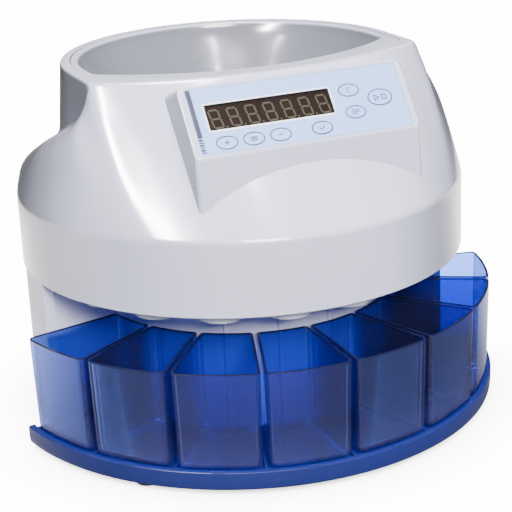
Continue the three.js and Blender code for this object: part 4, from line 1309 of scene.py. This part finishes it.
def camera_share(nodes):
    """1 for rays straight from the camera, SEEN_THROUGH for those that went through clear plastic."""
    path = nodes.add("LightPath").outputs
    bounces = nodes.math("ADD", path["Diffuse Depth"], path["Glossy Depth"])
    through = nodes.times(path["Is Transmission Ray"], nodes.math("LESS_THAN", bounces, 0.5))
    return nodes.math("MAXIMUM", path["Is Camera Ray"], nodes.times(through, SEEN_THROUGH))


def build_floor():
    """A pale floor that looks as white as the backdrop, with a painted contact shadow: its glow darkens
    softly under the machine.
    """
    mesh = bpy.data.meshes.new("studio_floor")
    corners = [(x * FLOOR_HALF, y * FLOOR_HALF, 0) for x, y in ((-1, -1), (1, -1), (1, 1), (-1, 1))]
    mesh.from_pydata(corners, [], [(0, 1, 2, 3)])
    floor = new_object("studio_floor", mesh)
    nodes = Nodes("studio_floor", (0.9, 0.9, 0.9))
    paper = nodes.surface((0.12, 0.12, 0.125), nodes.spread(nodes.noise(3.0), 0.3, 0.7, 0.6, 0.7))
    depth = nodes.axis("Y")
    behind = nodes.spread(depth, -0.1, 0.15, 0.0, FLOOR_GLOW)
    near = nodes.times(behind, nodes.spread(depth, 0.7, 0.45))
    mirrored = nodes.times(near, nodes.add("LightPath").outputs["Is Glossy Ray"])
    sheen = nodes.add("Emission", Strength=mirrored)
    lit = nodes.fill(nodes.add("AddShader"), 0, paper, sheen.outputs[0])
    # Painted shadow: the camera-facing glow is dimmed by ambient occlusion near the machine.
    painted_contact_shadow = nodes.add("AmbientOcclusion", {"samples": 8}, Distance=0.05)
    glow = nodes.add("Emission", Strength=nodes.spread(painted_contact_shadow.outputs["AO"], 0.0, 1.0, 1.0, BACKDROP))
    mesh.materials.append(nodes.done(nodes.mix_shader(camera_share(nodes), lit[0], glow.outputs[0])))


def add_area_light(name, place, size, power, glossy_only=False):
    """A rectangular light aimed at the machine; one that is glossy_only shows just in reflections."""
    data = bpy.data.lights.new(name, "AREA")
    data.shape = "RECTANGLE"
    data.size, data.size_y = size
    data.energy = power
    light = new_object(name, data)
    light.location = place
    light.visible_diffuse = not glossy_only
    light.visible_transmission = False
    light.rotation_mode = "QUATERNION"
    light.rotation_quaternion = (LIT_POINT - place).to_track_quat("-Z", "Y")


LIT_POINT = Vector((0, 0, 0.13))


def studio_place(azimuth, elevation, distance):
    """A place in the studio, seen from the machine: azimuth from the front towards +x, in degrees."""
    rise = radians(elevation)
    return LIT_POINT + around(distance * cos(rise), azimuth, distance * sin(rise))


def build_world():
    """White behind the machine for the camera, a dim studio for everything else."""
    nodes = Nodes("studio")
    behind = nodes.spread(nodes.axis("Y"), 0.8, 0.98, 0.0, BACK_GLOW)
    mirrored = nodes.times(behind, nodes.add("LightPath").outputs["Is Glossy Ray"])
    room = nodes.math("ADD", mirrored, ROOM_GLOW)
    strength = nodes.spread(camera_share(nodes), 0.0, 1.0, room, BACKDROP)
    background = nodes.add("Background", Color=(1, 1, 1), Strength=strength)
    bpy.context.scene.world = nodes.done(background.outputs[0])


CAMERA = Sizes(azimuth=-22.55, elevation=17.72, roll=-2.65, distance=1.0725, lens=103.9)
CAMERA_AIM = Vector((0, axis_y * MM, 0.130))
# How far the machine stands off the middle of the picture, as slopes to the right and up.
CAMERA_SHIFT = (-0.0102, 0.0272)


def build_camera():
    """The camera stands to the left of the machine, a little above it, slightly rolled."""
    rise, roll = radians(CAMERA.elevation), radians(CAMERA.roll)
    out = around(cos(rise), CAMERA.azimuth, sin(rise))
    right = around(1.0, CAMERA.azimuth + 90)
    up = out.cross(right)
    turned_right = right * cos(roll) + up * sin(roll)
    turned_up = up * cos(roll) - right * sin(roll)
    back = (out + CAMERA_SHIFT[0] * turned_right + CAMERA_SHIFT[1] * turned_up).normalized()
    side = turned_up.cross(back).normalized()
    matrix = Matrix((side, back.cross(side), back)).transposed().to_4x4()
    matrix.translation = CAMERA_AIM + out * CAMERA.distance
    data = bpy.data.cameras.new("camera")
    data.lens = CAMERA.lens
    data.sensor_width = 36.0
    camera = new_object("camera", data)
    camera.matrix_world = matrix
    bpy.context.scene.camera = camera


build_floor()
add_area_light("key", studio_place(-10, 30, 2.6), (0.9, 0.8), 150)
add_area_light("top", studio_place(0, 84, 2.0), (0.6, 0.6), 100)
add_area_light("strip_ridge", studio_place(-57, 40, 2.3), (0.2, 1.1), 210, glossy_only=True)
add_area_light("strip_bowl", studio_place(4, 65, 2.2), (0.12, 0.3), 12, glossy_only=True)
add_area_light("strip_bowl_side", studio_place(-80, 60, 2.2), (0.1, 0.3), 7, glossy_only=True)
build_world()
build_camera()
